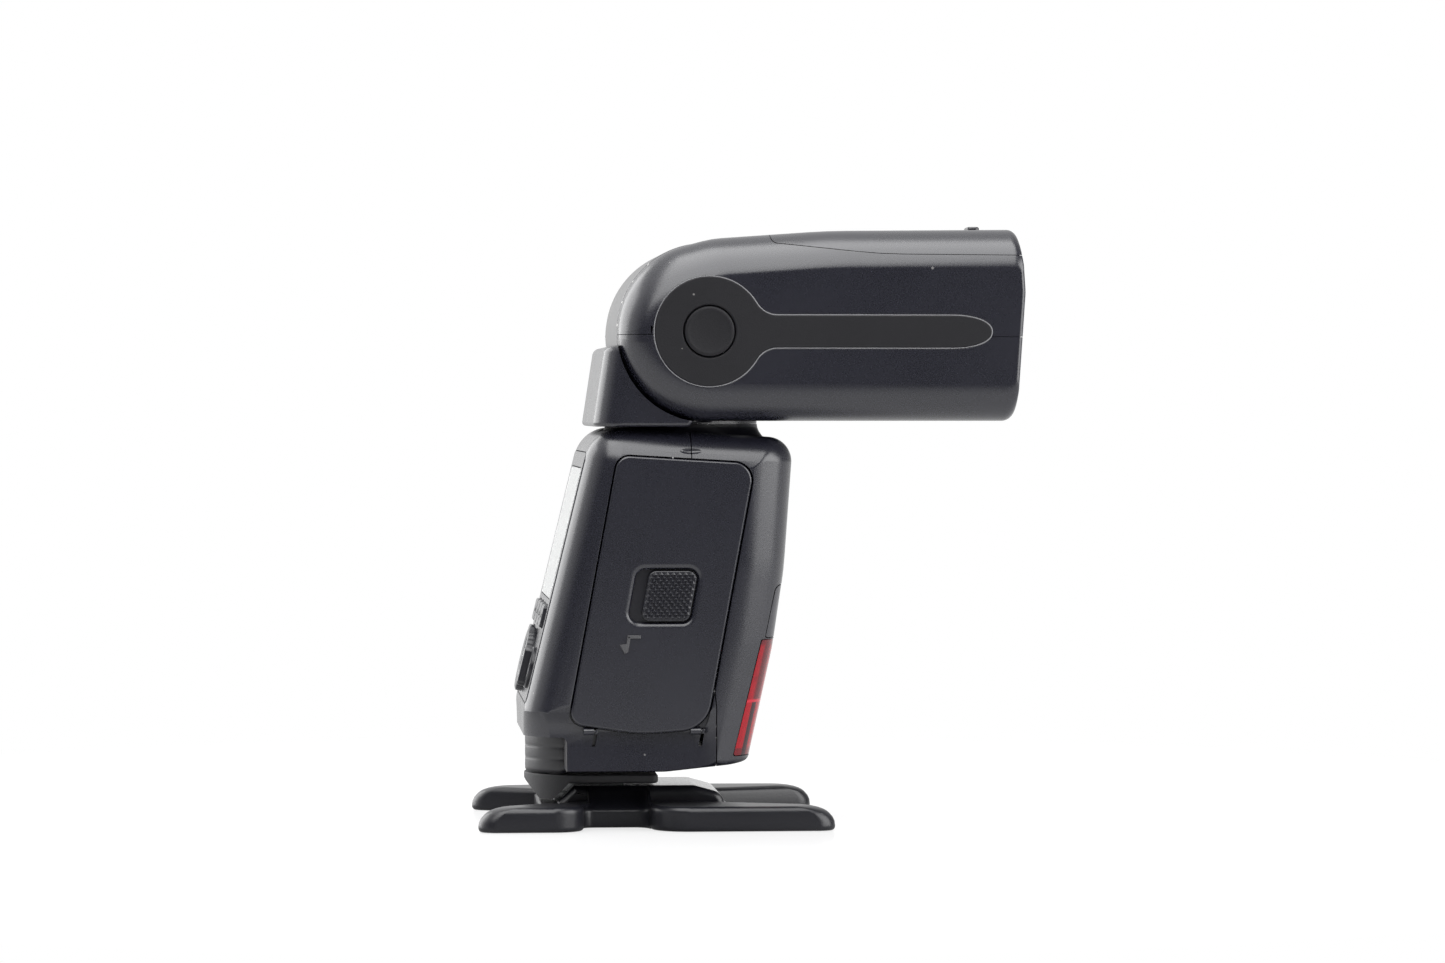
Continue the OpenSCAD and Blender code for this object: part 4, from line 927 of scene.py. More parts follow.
panel_foot_z = body_z + 15.2
panel_foot_x = REAR_TOP_X - (body_top - panel_foot_z) * math.tan(PANEL_LEAN)
body_corners = [(panel_foot_x + 0.3, body_z, 1.5), (2.0, body_z, 20), (*CHIN, 2), (*CHEEK, 70),
                (31.6, body_z + 49, 90), (33.9, body_top - 1.8, 6), (REAR_TOP_X + 0.3, body_top + TOP_RISE, 9),
                (panel_foot_x, panel_foot_z, 8)]


def body_block(walls=0.0):
    """The body's outside, or its inside at a wall's thickness."""
    return block("body", body_corners, body_half, BODY_FILLETS, [walls] * len(body_corners))


shell = cut(body_block(), body_block(WALL))
# corners that are thicker than the wall: the rear foot, and two steps below the door
body_fill = [((-REACH, -50, 0), (-14, 50, body_z + 15.5)),
             ((-30, -50, 0), (22, -body_half + 3.2, body_z + 13.2)),
             ((-30, -50, 0), (22, -body_half + 8, body_z + 5.4))]
for low, high in body_fill:
    union(shell, common(box(low, high), body_block(0.3)))
print("shell", len(shell.data.polygons), "faces")

# %% Door outline
DOOR_LEAN = math.radians(10.4)
DOOR_SLOPE = math.tan(DOOR_LEAN)
DOOR_W, DOOR_T = 33.8, 1.8
DOOR_GAP = 0.32
SLIDE_GAP = 0.1
DOOR_TRAVEL = joints["door_slide"]["range_m"][1] / MM

door_y = -body_half
door_foot = body_z + 9.3


def door_side(z, s):
    """X of the door's left (-1) or right (1) edge, or of its middle (0), at a height."""
    return 1 + (z - body_z - 43.2) * DOOR_SLOPE + s * DOOR_W / 2


def door_corner(s, rise, radius):
    """Corner of the door on its left or right edge."""
    return door_side(door_foot + rise, s), door_foot + rise, radius


door_corners = [door_corner(-1, 2.6, 3.2), (-4.5, door_foot, 40), door_corner(1, 1.2, 8),
                door_corner(1, 65.8, 4.5), door_corner(-1, 67.8, 3.5)]
door_outline = outline(door_corners, 5.0)
slide = (DOOR_TRAVEL + SLIDE_GAP) * np.array((-math.sin(DOOR_LEAN), -math.cos(DOOR_LEAN), 0))
swept_outline = outline([*(np.array(door_corners[:3]) + slide), *door_corners[3:]], 5.0)
print("door slides", round(DOOR_TRAVEL, 1), "mm")

# %% [markdown]
# The tools that shape the body's lower end are skins of their own: a hollow below the door that fades out to the
# front, and a solid that rounds the two rear corners towards the nose. The door's pocket is swept along the
# slide, so that the door has room when it is pushed down.

# %% Body tools
SCOOP_DEPTHS = [(32, -0.3), (30.4, 0.15), (29, 0.7), (27.5, 1.5), (26, 2.1), (24, 2.4), (21, 2.3), (18, 2.0),
                (12, 1.4)]
SCOOP_FROM, SCOOP_FADE = 8.5, 9.5
SCOOP_SKIM = 0.25
# height, corner radius, growth past the body
REAR_ROUNDS = ((0, 15, 0), (18, 15, 0), (24, 14, 0), (27, 12, 0), (30, 8, 0), (32, 5.5, 0), (32.1, 5.5, 9),
               (120, 5.5, 9))


def scoop():
    """Tool for the hollow below the door: deeper towards the foot, and fading out to the front."""
    rings = []
    for x in (-REACH, *np.linspace(SCOOP_FROM, SCOOP_FROM + SCOOP_FADE, 12)):
        fade = 0.5 + 0.5 * math.cos(math.pi * min(1.0, max(0.0, (x - SCOOP_FROM) / SCOOP_FADE)))
        edge = [(x, door_y - SCOOP_SKIM + (depth + SCOOP_SKIM) * fade, z) for z, depth in SCOOP_DEPTHS]
        rings.append([(x, door_y - 6, 12), (x, door_y - 6, 32), *edge])
    return skin("tool", rings)


def rounded_rear():
    """Solid that rounds the two rear corners of the body towards the nose, more so lower down."""
    rings = []
    for z, radius, grow in REAR_ROUNDS:
        x, y = panel_foot_x - 0.05 - grow, body_half + 0.05 + grow
        corners = [(x, -y, radius), (70, -y, 1), (70, y, 1), (x, y, radius)]
        rings.append([on_plan(*p, z) for p in outline(corners, 4.0)])
    return skin("tool", rings)


panel_n = -np.array(joints["function_press_1"]["axis"])
panel_u = np.array((panel_n[2], 0, -panel_n[0]))
panel_zero = axis_place("dial_turn")


def on_panel(u, v, n):
    """Control panel: u up from the dial's centre, v along Y, n out of the panel."""
    return tuple(panel_zero + u * panel_u + np.array((0, v, 0)) + n * panel_n)


# %% Body cuts
PANEL_FOOT, PANEL_HEAD, PANEL_HALF = -9.5, 53.5, 28.5
PANEL_MIDDLE, PANEL_H = ((PANEL_FOOT + PANEL_HEAD) / 2, 0), PANEL_HEAD - PANEL_FOOT
swivel_x = axis_place("head_swivel")[0]
collar_low, collar_high = span("swivel_collar")
collar_r = (collar_high[0] - collar_low[0]) / 2
cover_low, cover_high = span("terminal_cover")
cover_axis = axis_place("terminal_cover_swing")
NOSE_CUT_X = -22.0
MOUTH = 0.35
COVER_PLAY = 0.2

nose_cut = outline([(-REACH, 5, 0.1), (NOSE_CUT_X, 5, 0.1), (NOSE_CUT_X, cap_z - 0.1, 1.6),
                    (-REACH, cap_z - 0.1, 0.1)])
cover_hole = round_rect(((cover_axis[0] + cover_high[0] + COVER_PLAY) / 2, (cover_low[2] + cover_high[2]) / 2),
                        cover_high[0] + COVER_PLAY - cover_axis[0],
                        cover_high[2] - cover_low[2] + 2 * COVER_PLAY, 1.3)
common(shell, rounded_rear())
cut(shell, scoop(), cutter(offset(door_outline, -DOOR_GAP), door_y + WALL + 1, door_y, MOUTH),
    cutter(offset(swept_outline, -SLIDE_GAP), door_y + DOOR_T + 0.12, door_y, MOUTH),
    rod(collar_r + 0.2, collar_low[2] - 6, 130, (swivel_x, 0)),
    cutter(round_rect(PANEL_MIDDLE, PANEL_H + 0.3, 2 * PANEL_HALF + 0.3, 2.0), -6, 0, 0.3, on_panel),
    plate("tool", nose_cut, -REACH, REACH, 0.1),
    rod(NOSE_R + 0.15, 0, cap_z + 0.1, (nose_x, 0)), rod(CORE_R + 0.1, 0, cap_z + 1.1, (nose_x, 0)),
    cutter(cover_hole, body_half - WALL - 1, body_half, 0.3),
    box((cover_low[0] - COVER_PLAY, cover_axis[1] - 1, cover_low[2] - COVER_PLAY),
        (cover_axis[0] + 2, body_half + 2, cover_high[2] + COVER_PLAY)))
print("cut shell", len(shell.data.polygons), "faces")

# %% [markdown]
# Two slots below the door let its hinge lugs slide, and a small oval dimple above the door marks where the
# thumb pushes. They are cut after the large pockets, because they lie in the surfaces that those leave.

# %% Slots, dimple and split
hinge_y, hinge_z = axis_place("door_swing")[1:]
HINGE_XS = (-18.0, 8.0)
KNUCKLE_L, KNUCKLE_R = 2.5, 0.85
LUG_FROM = KNUCKLE_L + 0.3
LUG_L, LUG_HALF, LUG_PLAY = 0.6, 0.6, 0.12
DIMPLE = (8.25, 92.65)
DIMPLE_HALF, DIMPLE_R, DIMPLE_SINK = 3.2, 1.05, 0.7
PARTING = ((8.25, 105), (8.25, 88), (14.3, 30), (14.3, 5))
PARTING_GAP = 0.13


def lug_shape(hinge_x, play=0.0, travel=0.0):
    """Leaning side outline of a hinge lug, or of the slot that it slides in."""
    x0, x1 = hinge_x + LUG_FROM - play, hinge_x + LUG_FROM + LUG_L + play
    low, high = -LUG_HALF - travel - play, LUG_HALF + play
    return [(x + rise * DOOR_SLOPE, hinge_z + rise) for x, rise in ((x0, low), (x1, low), (x1, high), (x0, high))]


def parting_half(s):
    """Everything on one side of the parting line."""
    return prism([*((x + s * PARTING_GAP, z) for x, z in PARTING), (s * 90, 5), (s * 90, 105)])


for hinge_x in HINGE_XS:
    cut(shell, prism(lug_shape(hinge_x, LUG_PLAY, DOOR_TRAVEL), door_y - 1, door_y + 4.2))
rings = []
for t in np.linspace(0.05, math.pi - 0.05, 15):
    x, r = DIMPLE[0] - DIMPLE_HALF * math.cos(t), DIMPLE_R * math.sin(t)
    rings.append([(x, door_y + DIMPLE_SINK + r * math.cos(a), DIMPLE[1] + r * math.sin(a))
                  for a in np.linspace(0, 2 * math.pi, 24, endpoint=False)])
cut(shell, skin("tool", rings))
rear_shell = common(copy_of(shell, "rear"), parting_half(-1))
front_shell = common(shell, parting_half(1))
print("front and rear shell split")

# %% [markdown]
# ## Front windows
# The red window over the focus lamps and the dark sensor window above it follow the body's skin round the front
# corner. Each is the same hollow block, cut down to its own patch, so it lies flush whatever the curve. The lamp
# housing shows through the red window as dark bars. They could be real bars behind clear plastic, but a few
# bands in the finish, placed from the window's front line, give the same look without noise.

# %% Red plastic
lamp_low, lamp_high = span("focus_lamp_window")
sensor_low, sensor_high = span("sensor_window")
divide_z = lamp_low[2] + 0.47 * (lamp_high[2] - lamp_low[2])
RED = (0.22, 0.0015, 0.007)
# darker red of the housing's bars, also used for painted shade at the window's top and tip
RED_SHADE = (0.022, 0.005, 0.008)
# lighter red of the painted highlight along the ledge
RED_PAINTED_HIGHLIGHT = (0.42, 0.015, 0.03)


def band(value, centre, half, soft):
    """1 within a band of values, fading to 0 at its edges."""
    return remap(abs(value - centre), half, half + soft, 1, 0)


def red_plastic():
    """Red plastic with the dark bars of the lamp housing behind it, placed from the window's front line, painted
    shade at its top and tip, and a painted highlight along its ledge.
    """
    shader, place = new_finish("red_window")
    x, _, z = (part * (1 / MM) for part in xyz(place))
    behind_line = (z - CHIN[1]) * FRONT_SLOPE + CHIN[0] - x
    low = remap(z, divide_z - 0.3, divide_z, 1, 0)
    bar = band(behind_line, 2.0, 0.5, 0.15) * low
    haze = band(behind_line, 1.7, 0.5, 0.7) * (0.75 - low * 0.75)
    # painted shade along the window's top and at its tip
    top = band(z, lamp_high[2], 0.9, 1.0) * 0.7
    tip = band(z, lamp_low[2], 1.6, 0.3) * 0.6
    streaks = remap(noise(place, 520.0, 3.0), 0.45, 0.75, 0, 0.4) * (1.0 - low)
    # painted highlight along the ledge where the window's two parts meet
    painted_ledge_highlight = band(z, divide_z, 0.25, 0.2) * 0.7
    tint = blend(bar | haze | top | tip | streaks, RED, RED_SHADE)
    give(shader, base_color=blend(painted_ledge_highlight, tint, RED_PAINTED_HIGHLIGHT), specular_ior_level=0.3,
         roughness=remap(noise(place, 150.0, 3.0), 0.3, 0.7, 0.14, 0.2))


red_plastic()
print("red from", lamp_low[2].round(1), "to", lamp_high[2].round(1), "mm")

# %% Windows
LAMP_WRAP, SENSOR_WRAP = (4.5, 3.6), (2.8, 2.8)
LAMP_T, SENSOR_T = 1.2, 1.6
WINDOW_SINK = 0.05
WINDOW_GAP = 0.22


def window_prism(z0, z1, wrap, radius, grow=0.0):
    """Tool with a window's outline in the side view."""
    x0, x1 = (CHIN[0] + (z - CHIN[1]) * FRONT_SLOPE - back - grow for z, back in zip((z0, z1), wrap))
    return prism(outline([(x0, z0 - grow, 0.5), (REACH, z0 - grow, 0.1), (REACH, z1 + grow, 0.1),
                          (x1, z1 + grow, radius)]))


lamp_shape = (lamp_low[2], lamp_high[2], LAMP_WRAP, 0.6)
sensor_shape = (sensor_low[2], sensor_high[2], SENSOR_WRAP, 2.2)
for shape in (lamp_shape, sensor_shape):
    cut(front_shell, window_prism(*shape, grow=WINDOW_GAP))
red = common(cut(body_block(WINDOW_SINK), body_block(LAMP_T)), window_prism(*lamp_shape))
piece(red, "red_focus_window", "red_window", "flash_body", "focus_lamp_window")
dark = common(cut(body_block(WINDOW_SINK), body_block(SENSOR_T)), window_prism(*sensor_shape))
piece(dark, "dark_sensor_window", "dark_window", "flash_body", "sensor_window")
piece(front_shell, "body_shell_front", "case_black", "flash_body", "body_front_shell")
piece(rear_shell, "body_shell_rear", "case_black", "flash_body", "body_rear_shell")

# %% [markdown]
# ## Battery door and latch
# The door is a plate with a softly rounded rim, a window for the latch with a dished border, and two hinge
# knuckles at its foot. An arrow below the latch shows which way the door slides: three thin plates that stand a
# little proud. A decal would need an unwrapped face for the same few strokes.

# %% Door
LATCH_W, LATCH_H, LATCH_CORNER = 11.8, 12.2, 2.0
LATCH_GAP, LATCH_DISH = 0.7, 1.4
LATCH_TRAVEL = joints["latch_slide"]["range_m"][1] / MM
HINGE_BORE, HINGE_PIN = 0.55, 0.48
latch_z = body_z + 42.9
window_x = door_side(latch_z, 0) + 0.5
latch_x = window_x + LATCH_TRAVEL / 2
door_back = door_y + DOOR_T


def leaning(x, width, height, radius):
    """Outline of a rectangle at the latch's height that leans with the door."""
    return round_rect((x, latch_z), width, height, radius, DOOR_SLOPE, 10.0)


door = plate("door", door_outline, door_back, door_y, 0.6)
latch_hole = leaning(window_x, LATCH_W + LATCH_TRAVEL + LATCH_GAP, LATCH_H + LATCH_GAP, LATCH_CORNER + 0.3)
cut(door, cutter(latch_hole, door_back + 1, door_y, LATCH_DISH))
for hinge_x in HINGE_XS:
    knuckle_end = hinge_x + KNUCKLE_L
    union(door, rod(KNUCKLE_R, hinge_x, knuckle_end, (hinge_y, hinge_z), on_front, 32))
    cut(door, box((knuckle_end, door_y - 2, hinge_z - 5),
                  (hinge_x + LUG_FROM + LUG_L + LUG_PLAY, door_y + 4, hinge_z + LUG_HALF + LUG_PLAY)))
    cut(door, rod(HINGE_BORE, hinge_x - 1, knuckle_end + 1, (hinge_y, hinge_z), on_front, 24))
piece(door, "battery_door_plate", "case_black", "battery_door", "battery_door")

# %% Arrow and hinge bar
STROKE, ARROW_L, ARROW_RAISE = 0.8, 4.6, 0.35
top_x, top_z = -7.2, 47.7
tip_x, tip_z = top_x - ARROW_L * DOOR_SLOPE, top_z - ARROW_L
tail = [(top_x - 0.2, top_z - STROKE), (top_x + 3.0, top_z - STROKE), (top_x + 3.0, top_z), (top_x - 0.2, top_z)]
shaft = [(tip_x, tip_z), (tip_x + STROKE, tip_z + 0.6), (top_x + STROKE - 0.2, top_z - 0.1),
         (top_x - 0.2, top_z - 0.1)]
barb = [(tip_x, tip_z), (tip_x + 0.6, tip_z + 2.5), (tip_x - 1.3, tip_z + 2.3)]
arrow = [plate("arrow", shape, door_y + 0.1, door_y - ARROW_RAISE, 0.18) for shape in (tail, shaft, barb)]
piece(gather(*arrow), "door_arrow_mark", "arrow_grey", "battery_door")

bracket_y = span("door_hinge_bracket")[1][1]
bracket = box((HINGE_XS[0] + LUG_FROM, bracket_y - 1, hinge_z - KNUCKLE_R),
              (HINGE_XS[1] + LUG_FROM + LUG_L, bracket_y, hinge_z + KNUCKLE_R))
for hinge_x in HINGE_XS:
    lug = plate("lug", lug_shape(hinge_x), bracket_y - 0.5, hinge_y - LUG_HALF, 0.15)
    pin = rod(HINGE_PIN, hinge_x + 0.1, hinge_x + LUG_FROM + 0.2, (hinge_y, hinge_z), on_front, 24)
    union(bracket, lug, pin)
piece(bracket, "door_hinge_bar", "trim_black", "door_carriage", "door_hinge_bracket")

# %% [markdown]
# The latch carries a diamond knurl: a Geometry Nodes tree sets one small pyramid on each point of a turned grid.
# Cutting a hundred and forty grooves instead would give the same look for more faces. The helper below makes any
# such tree from named sizes, runs it once, and keeps a plain mesh.

# %% Geometry Nodes helpers


def scatter(tree, points, shape, **more):
    """Copies of a shape on points."""
    return wire(tree, "GeometryNodeInstanceOnPoints", points=points, instance=shape, **more)


def grow(name, sizes, finish, build):
    """Builds a tree with named inputs, runs it on an empty mesh and keeps the result as a plain mesh."""
    tree = bpy.data.node_groups.new(name, "GeometryNodeTree")
    tree.interface.new_socket("Geometry", in_out="OUTPUT", socket_type="NodeSocketGeometry")
    for label, value in sizes.items():
        kind = "NodeSocketInt" if isinstance(value, int) else "NodeSocketFloat"
        tree.interface.new_socket(label, in_out="INPUT", socket_type=kind)
    tree.interface.new_socket("Finish", in_out="INPUT", socket_type="NodeSocketMaterial")
    values = {**sizes, "Finish": finishes[finish]}
    sockets = tree.nodes.new("NodeGroupInput").outputs
    inputs = {label: Wire(sockets[label]) for label in values}
    real = add(tree, "GeometryNodeRealizeInstances", geometry=build(tree, inputs))
    painted = add(tree, "GeometryNodeSetMaterial", geometry=real, material=inputs["Finish"])
    feed(tree.nodes.new("NodeGroupOutput").inputs[0], painted)
    made = bpy.data.objects.new(name, bpy.data.meshes.new(name))
    scene.collection.objects.link(made)
    step = made.modifiers.new("nodes", "NODES")
    step.node_group = tree
    for item in tree.interface.items_tree:
        if item.item_type == "SOCKET" and item.in_out == "INPUT":
            step[item.identifier] = values[item.name]
    return settle(made)


def set_down(made, place):
    """Moves every point of a mesh, given in millimetres, to its place on the object."""
    points = np.empty(len(made.data.vertices) * 3)
    made.data.vertices.foreach_get("co", points)
    moved_points = np.array([place(*p) for p in points.reshape(-1, 3)]) * MM
    made.data.vertices.foreach_set("co", moved_points.ravel())
    made.data.update()
    face_outwards(made.data)
    return made


# %% Latch
KNURL_PITCH, KNURL_H, KNURL_ROWS = 1.05, 0.42, 26
KNURL_MARGIN = 0.9
KNURL_CORNER = 0.46
PEAK_TOP, PEAK_FOOT = 0.12, 0.64
LATCH_SINK = 0.15


def diamond_knurl(tree, inputs):
    """A four-sided peak on each point of a turned grid, within a rectangle with cut corners."""
    pitch, rows, width, height = (inputs[label] for label in ("Pitch", "Rows", "Width", "Height"))
    extent = pitch * (rows - 1.0)
    lattice = add(tree, "GeometryNodeMeshGrid", size_x=extent, size_y=extent, vertices_x=rows, vertices_y=rows)
    turned = add(tree, "GeometryNodeTransform", geometry=lattice, rotation=(0, 0, math.pi / 4))
    x, y, _ = (abs(part) for part in xyz(wire(tree, "GeometryNodeInputPosition")))
    outside = (x > width * 0.5) | (y > height * 0.5) | (x + y > (width + height) * KNURL_CORNER)
    kept = add(tree, "GeometryNodeDeleteGeometry", geometry=turned, selection=outside)
    peak = add(tree, "GeometryNodeMeshCone", vertices=4, radius_top=PEAK_TOP, radius_bottom=pitch * PEAK_FOOT,
               depth=inputs["Peak"])
    return scatter(tree, kept, peak)


sizes = {"Width": LATCH_W - KNURL_MARGIN, "Height": LATCH_H - KNURL_MARGIN, "Pitch": KNURL_PITCH,
         "Peak": KNURL_H, "Rows": KNURL_ROWS}
knurl = grow("diamond_knurl", sizes, "trim_black", diamond_knurl)
latch_face = door_y - LATCH_SINK
set_down(knurl, lambda a, b, h: (latch_x + a + b * DOOR_SLOPE, latch_face - h + 0.02, latch_z + b))
latch = plate("latch", leaning(latch_x, LATCH_W, LATCH_H, LATCH_CORNER), door_back + 1, latch_face, 0.35)
flange = plate("flange", leaning(latch_x, LATCH_W + 6.6, LATCH_H + 2.4, LATCH_CORNER), door_back + 1,
               door_back + 0.2, 0.1)
gather(latch, flange, knurl)
piece(latch, "door_latch_knob", "trim_black", "door_latch", "door_latch", sharp=20)

# %% [markdown]
# ## Control panel
# On the back a flat panel carries the display, four keys under it, the round select dial with its set button,
# the power switch and two side keys. All of these are outlines raised along the panel's own axis, so one set of
# panel coordinates, measured from the dial's centre, places them all. The dial's teeth are instances on a circle.

# %% Panel and display
PANEL_T = 1.8
LCD_FOOT, LCD_HEAD, LCD_HALF, LCD_GAP = 16.5, 49.5, 25.0, 0.15
KEY_U, KEY_H, KEY_W, KEY_PITCH, KEY_CORNER = 12.0, 5.6, 10.0, 12.5, 1.0
SIDE_KEY_V, SIDE_KEY_H, SIDE_KEY_W, SIDE_KEY_CORNER = 20.0, 6.5, 9.0, 1.8
SIDE_KEYS = {"wireless_button": 4.7, "test_button": -5.0}
DIAL_R, SET_R, SWITCH_R = 8.0, 4.6, 5.2
SWITCH = (-1.0, -19.5)
KEY_GAP = 0.2

panel_shape = round_rect(PANEL_MIDDLE, PANEL_H, 2 * PANEL_HALF, 2.0)
lcd_shape = round_rect(((LCD_FOOT + LCD_HEAD) / 2, 0), LCD_HEAD - LCD_FOOT, 2 * LCD_HALF, 2.0)
keys = {f"function_button_{i + 1}": ((KEY_U, (i - 1.5) * KEY_PITCH), KEY_H, KEY_W, KEY_CORNER) for i in range(4)}
for name, u in SIDE_KEYS.items():
    keys[name] = ((u, SIDE_KEY_V), SIDE_KEY_H, SIDE_KEY_W, SIDE_KEY_CORNER)
panel = plate("panel", panel_shape, -PANEL_T, 0, 0.35, place=on_panel)
holes = [offset(lcd_shape, -LCD_GAP), disc((0, 0), DIAL_R + KEY_GAP), disc(SWITCH, SWITCH_R + KEY_GAP)]
holes += [offset(round_rect(*key), -KEY_GAP) for key in keys.values()]
cut(panel, *[cutter(hole, -PANEL_T - 1, 0, 0.25, on_panel) for hole in holes])
piece(panel, "rear_panel", "case_black", "flash_body", "control_panel")
glass = plate("glass", lcd_shape, -1.2, 0.02, 0.3, place=on_panel)
piece(glass, "display_glass", "display_glass", "flash_body", "lcd_window")

# %% Keys
KEY_PROUD, SIDE_KEY_PROUD = 0.9, 1.1
KEY_DISH = ((0.9, 0.02), (1.6, 0.12), (2.2, 0.16))

for name, key in keys.items():
    proud = SIDE_KEY_PROUD if name in SIDE_KEYS else KEY_PROUD
    levels = [(0, -2.6), *quarter(0.4, proud, 1), *((inset, proud - dip) for inset, dip in KEY_DISH)]
    piece(stack(name, round_rect(*key), levels, on_panel), name + "_cap", "key_black", name, name)

# %% Dial, set button and switch
DIAL_TEETH, TOOTH_R, TOOTH_H, TOOTH_SINK, TOOTH_MIDDLE = 36, 0.34, 1.5, 0.24, 1.05


def ring_of_teeth(tree, inputs):
    """Small upright rods round a circle."""
    ring = add(tree, "GeometryNodeMeshCircle", vertices=inputs["Teeth"], radius=inputs["Radius"])
    tooth = add(tree, "GeometryNodeMeshCylinder", vertices=8, side_segments=1, radius=inputs["Tooth"],
                depth=inputs["Height"])
    return scatter(tree, ring, tooth)


ring_r = SET_R + KEY_GAP
dial_profile = [(ring_r, -1.2), (DIAL_R, -1.2), (DIAL_R, 1.5), (DIAL_R - 0.25, 2.0), (DIAL_R - 0.8, 2.2),
                (SET_R + 1.0, 2.05), (ring_r + 0.3, 1.75), (ring_r, 1.4)]
dial = lathe("dial", dial_profile, (0, 0), on_panel, closed=True)
sizes = {"Radius": DIAL_R - TOOTH_SINK, "Tooth": TOOTH_R, "Height": TOOTH_H, "Teeth": DIAL_TEETH}
teeth = grow("ring_of_teeth", sizes, "key_black", ring_of_teeth)
set_down(teeth, lambda a, b, h: on_panel(a, b, h + TOOTH_MIDDLE))
piece(gather(dial, teeth), "select_dial_ring", "key_black", "select_dial", "select_dial")

set_profile = [(SET_R, -1.4), (SET_R, 1.4), (SET_R - 0.15, 1.68), (SET_R - 0.5, 1.8), (SET_R - 1.6, 1.68),
               (0.6, 1.55)]
piece(lathe("set", set_profile, (0, 0), on_panel), "set_button_cap", "key_black", "set_button", "set_button")

hub_profile = [(SWITCH_R, -1.2), (SWITCH_R, 0.6), (SWITCH_R - 0.2, 0.9), (SWITCH_R - 0.6, 1.0), (0.5, 1.05)]
hub = lathe("hub", hub_profile, SWITCH, on_panel)
fin = plate("fin", round_rect(SWITCH, 2 * SWITCH_R - 0.8, 2.6, 1.2), 0.5, 2.8, 0.6, place=on_panel)
mark_shape = round_rect((SWITCH[0] + 3.2, SWITCH[1]), 2.0, 0.5, 0.2)
piece(union(hub, fin), "power_switch_lever", "trim_black", "power_switch", "power_switch")
mark = plate("mark", mark_shape, 2.6, 2.84, 0.05, place=on_panel)
piece(mark, "power_switch_mark", "mark_white", "power_switch")

# %% [markdown]
# A rubber flap on the left side covers the sockets. It is a plate with a barrel along its hinge, and a nick at
# the free edge for a fingernail.

# %% Terminal cover
COVER_T, COVER_CORNER, BARREL_R = 1.6, 1.2, 0.8

cover_mid = ((cover_axis[0] + cover_high[0]) / 2, (cover_low[2] + cover_high[2]) / 2)
cover_shape = round_rect(cover_mid, cover_high[0] - cover_axis[0], cover_high[2] - cover_low[2], COVER_CORNER)
cover = plate("cover", cover_shape, body_half - COVER_T, body_half, 0.35)
barrel = rod(BARREL_R, cover_low[2], cover_high[2], cover_axis[:2], sides=24)
nick = prism(round_rect((cover_high[0] - 0.6, cover_mid[1]), 2.4, 7, 1.0), body_half - 0.7, body_half + 2)
cut(union(cover, barrel), nick)
piece(cover, "terminal_cover_flap", "skirt_rubber", "terminal_cover", "terminal_cover")

# %% [markdown]
# ## Swivel and yoke
# The head turns on a collar on top of the body, and tilts on a drum held by the yoke. Collar and drum are turned
# parts, so each is a profile spun round its axis. The yoke is another filleted block, hollowed by the cylinders
# of the drum and the head's cheeks, which keeps the same gap all round.

# %% Collar
pivot_x, _, pivot_z = axis_place("head_tilt")
pivot_side = (pivot_x, pivot_z)
spindle_low, spindle_high = span("swivel_spindle")
bore = (spindle_high[0] - spindle_low[0]) / 2 + 0.05
FLARE = 1.6

flare_foot = body_top - FLARE
flare = [(collar_r - FLARE + FLARE * (1 - s) ** 2, flare_foot + s * (collar_high[2] - flare_foot))
         for s in np.linspace(0, 1, 7)]
collar = lathe("collar", [(bore, collar_low[2]), (collar_r, collar_low[2]), *flare, (bore, collar_high[2])],
               (swivel_x, 0), on_plan, closed=True)
piece(collar, "swivel_collar_ring", "trim_black", "flash_body", "swivel_collar")

# %% Yoke
yoke_low, yoke_high = span("yoke_saddle")
yoke_z, yoke_half, drum_half = yoke_low[2], yoke_high[1], span("yoke_drum")[1][1]
DRUM_R, CRADLE_R, TONGUE_R = 21.85, 22.1, 24.2
PASSAGE_R = 7.0
YOKE_DROP = 0.9
YOKE_FILLETS = [1.0, 1.0, 2.0, 7.0]
TURNTABLE_IN = 1.7


def tilt_tool(radius, y0, y1):
    """Cylinder about the tilt axis."""
    return rod(radius, y0, y1, pivot_side, on_side, 120)


yoke_rear_x, yoke_top_z, yoke_foot = pivot_x - 27.9, pivot_z - 3.4, yoke_z - YOKE_DROP
yoke_corners = [(yoke_rear_x, yoke_foot, 1.0), (pivot_x - 2.3, yoke_foot, 1.5), (pivot_x - 17, yoke_top_z, 2),
                (pivot_x - 24.9, yoke_top_z, 2.0)]
yoke = block("yoke", yoke_corners, yoke_half, YOKE_FILLETS)
cut(yoke, rod(collar_r + 0.3, yoke_z - 5, yoke_z, (swivel_x, 0)))
union(yoke, rod(collar_r - TURNTABLE_IN, collar_high[2] + 0.06, yoke_z + 2.2, (swivel_x, 0)),
      box((yoke_rear_x + 3, -drum_half + 0.2, yoke_z + 0.1), (swivel_x + 6, drum_half - 0.2, yoke_top_z - 6)))
tongue_room = common(tilt_tool(TONGUE_R, -drum_half + 0.6, drum_half - 0.6),
                     box((-REACH, -REACH, pivot_z - 9.9), (pivot_x, REACH, 200)))
cut(yoke, tilt_tool(DRUM_R + 0.1, -drum_half - 0.2, drum_half + 0.2),
    tilt_tool(CRADLE_R, drum_half + 0.1, yoke_half + 5), tilt_tool(CRADLE_R, -yoke_half - 5, -drum_half - 0.1),
    tongue_room, rod(PASSAGE_R, yoke_z - 1, yoke_z + 60, (swivel_x, 0)))
piece(yoke, "yoke_arms", "case_black", "yoke", "yoke_saddle")

# %% Drum
SHELL = 2.0
PIN_R = 5.05
DRUM_EDGE = ((0.5, 0.0), (0.15, 0.15), (0.0, 0.5))

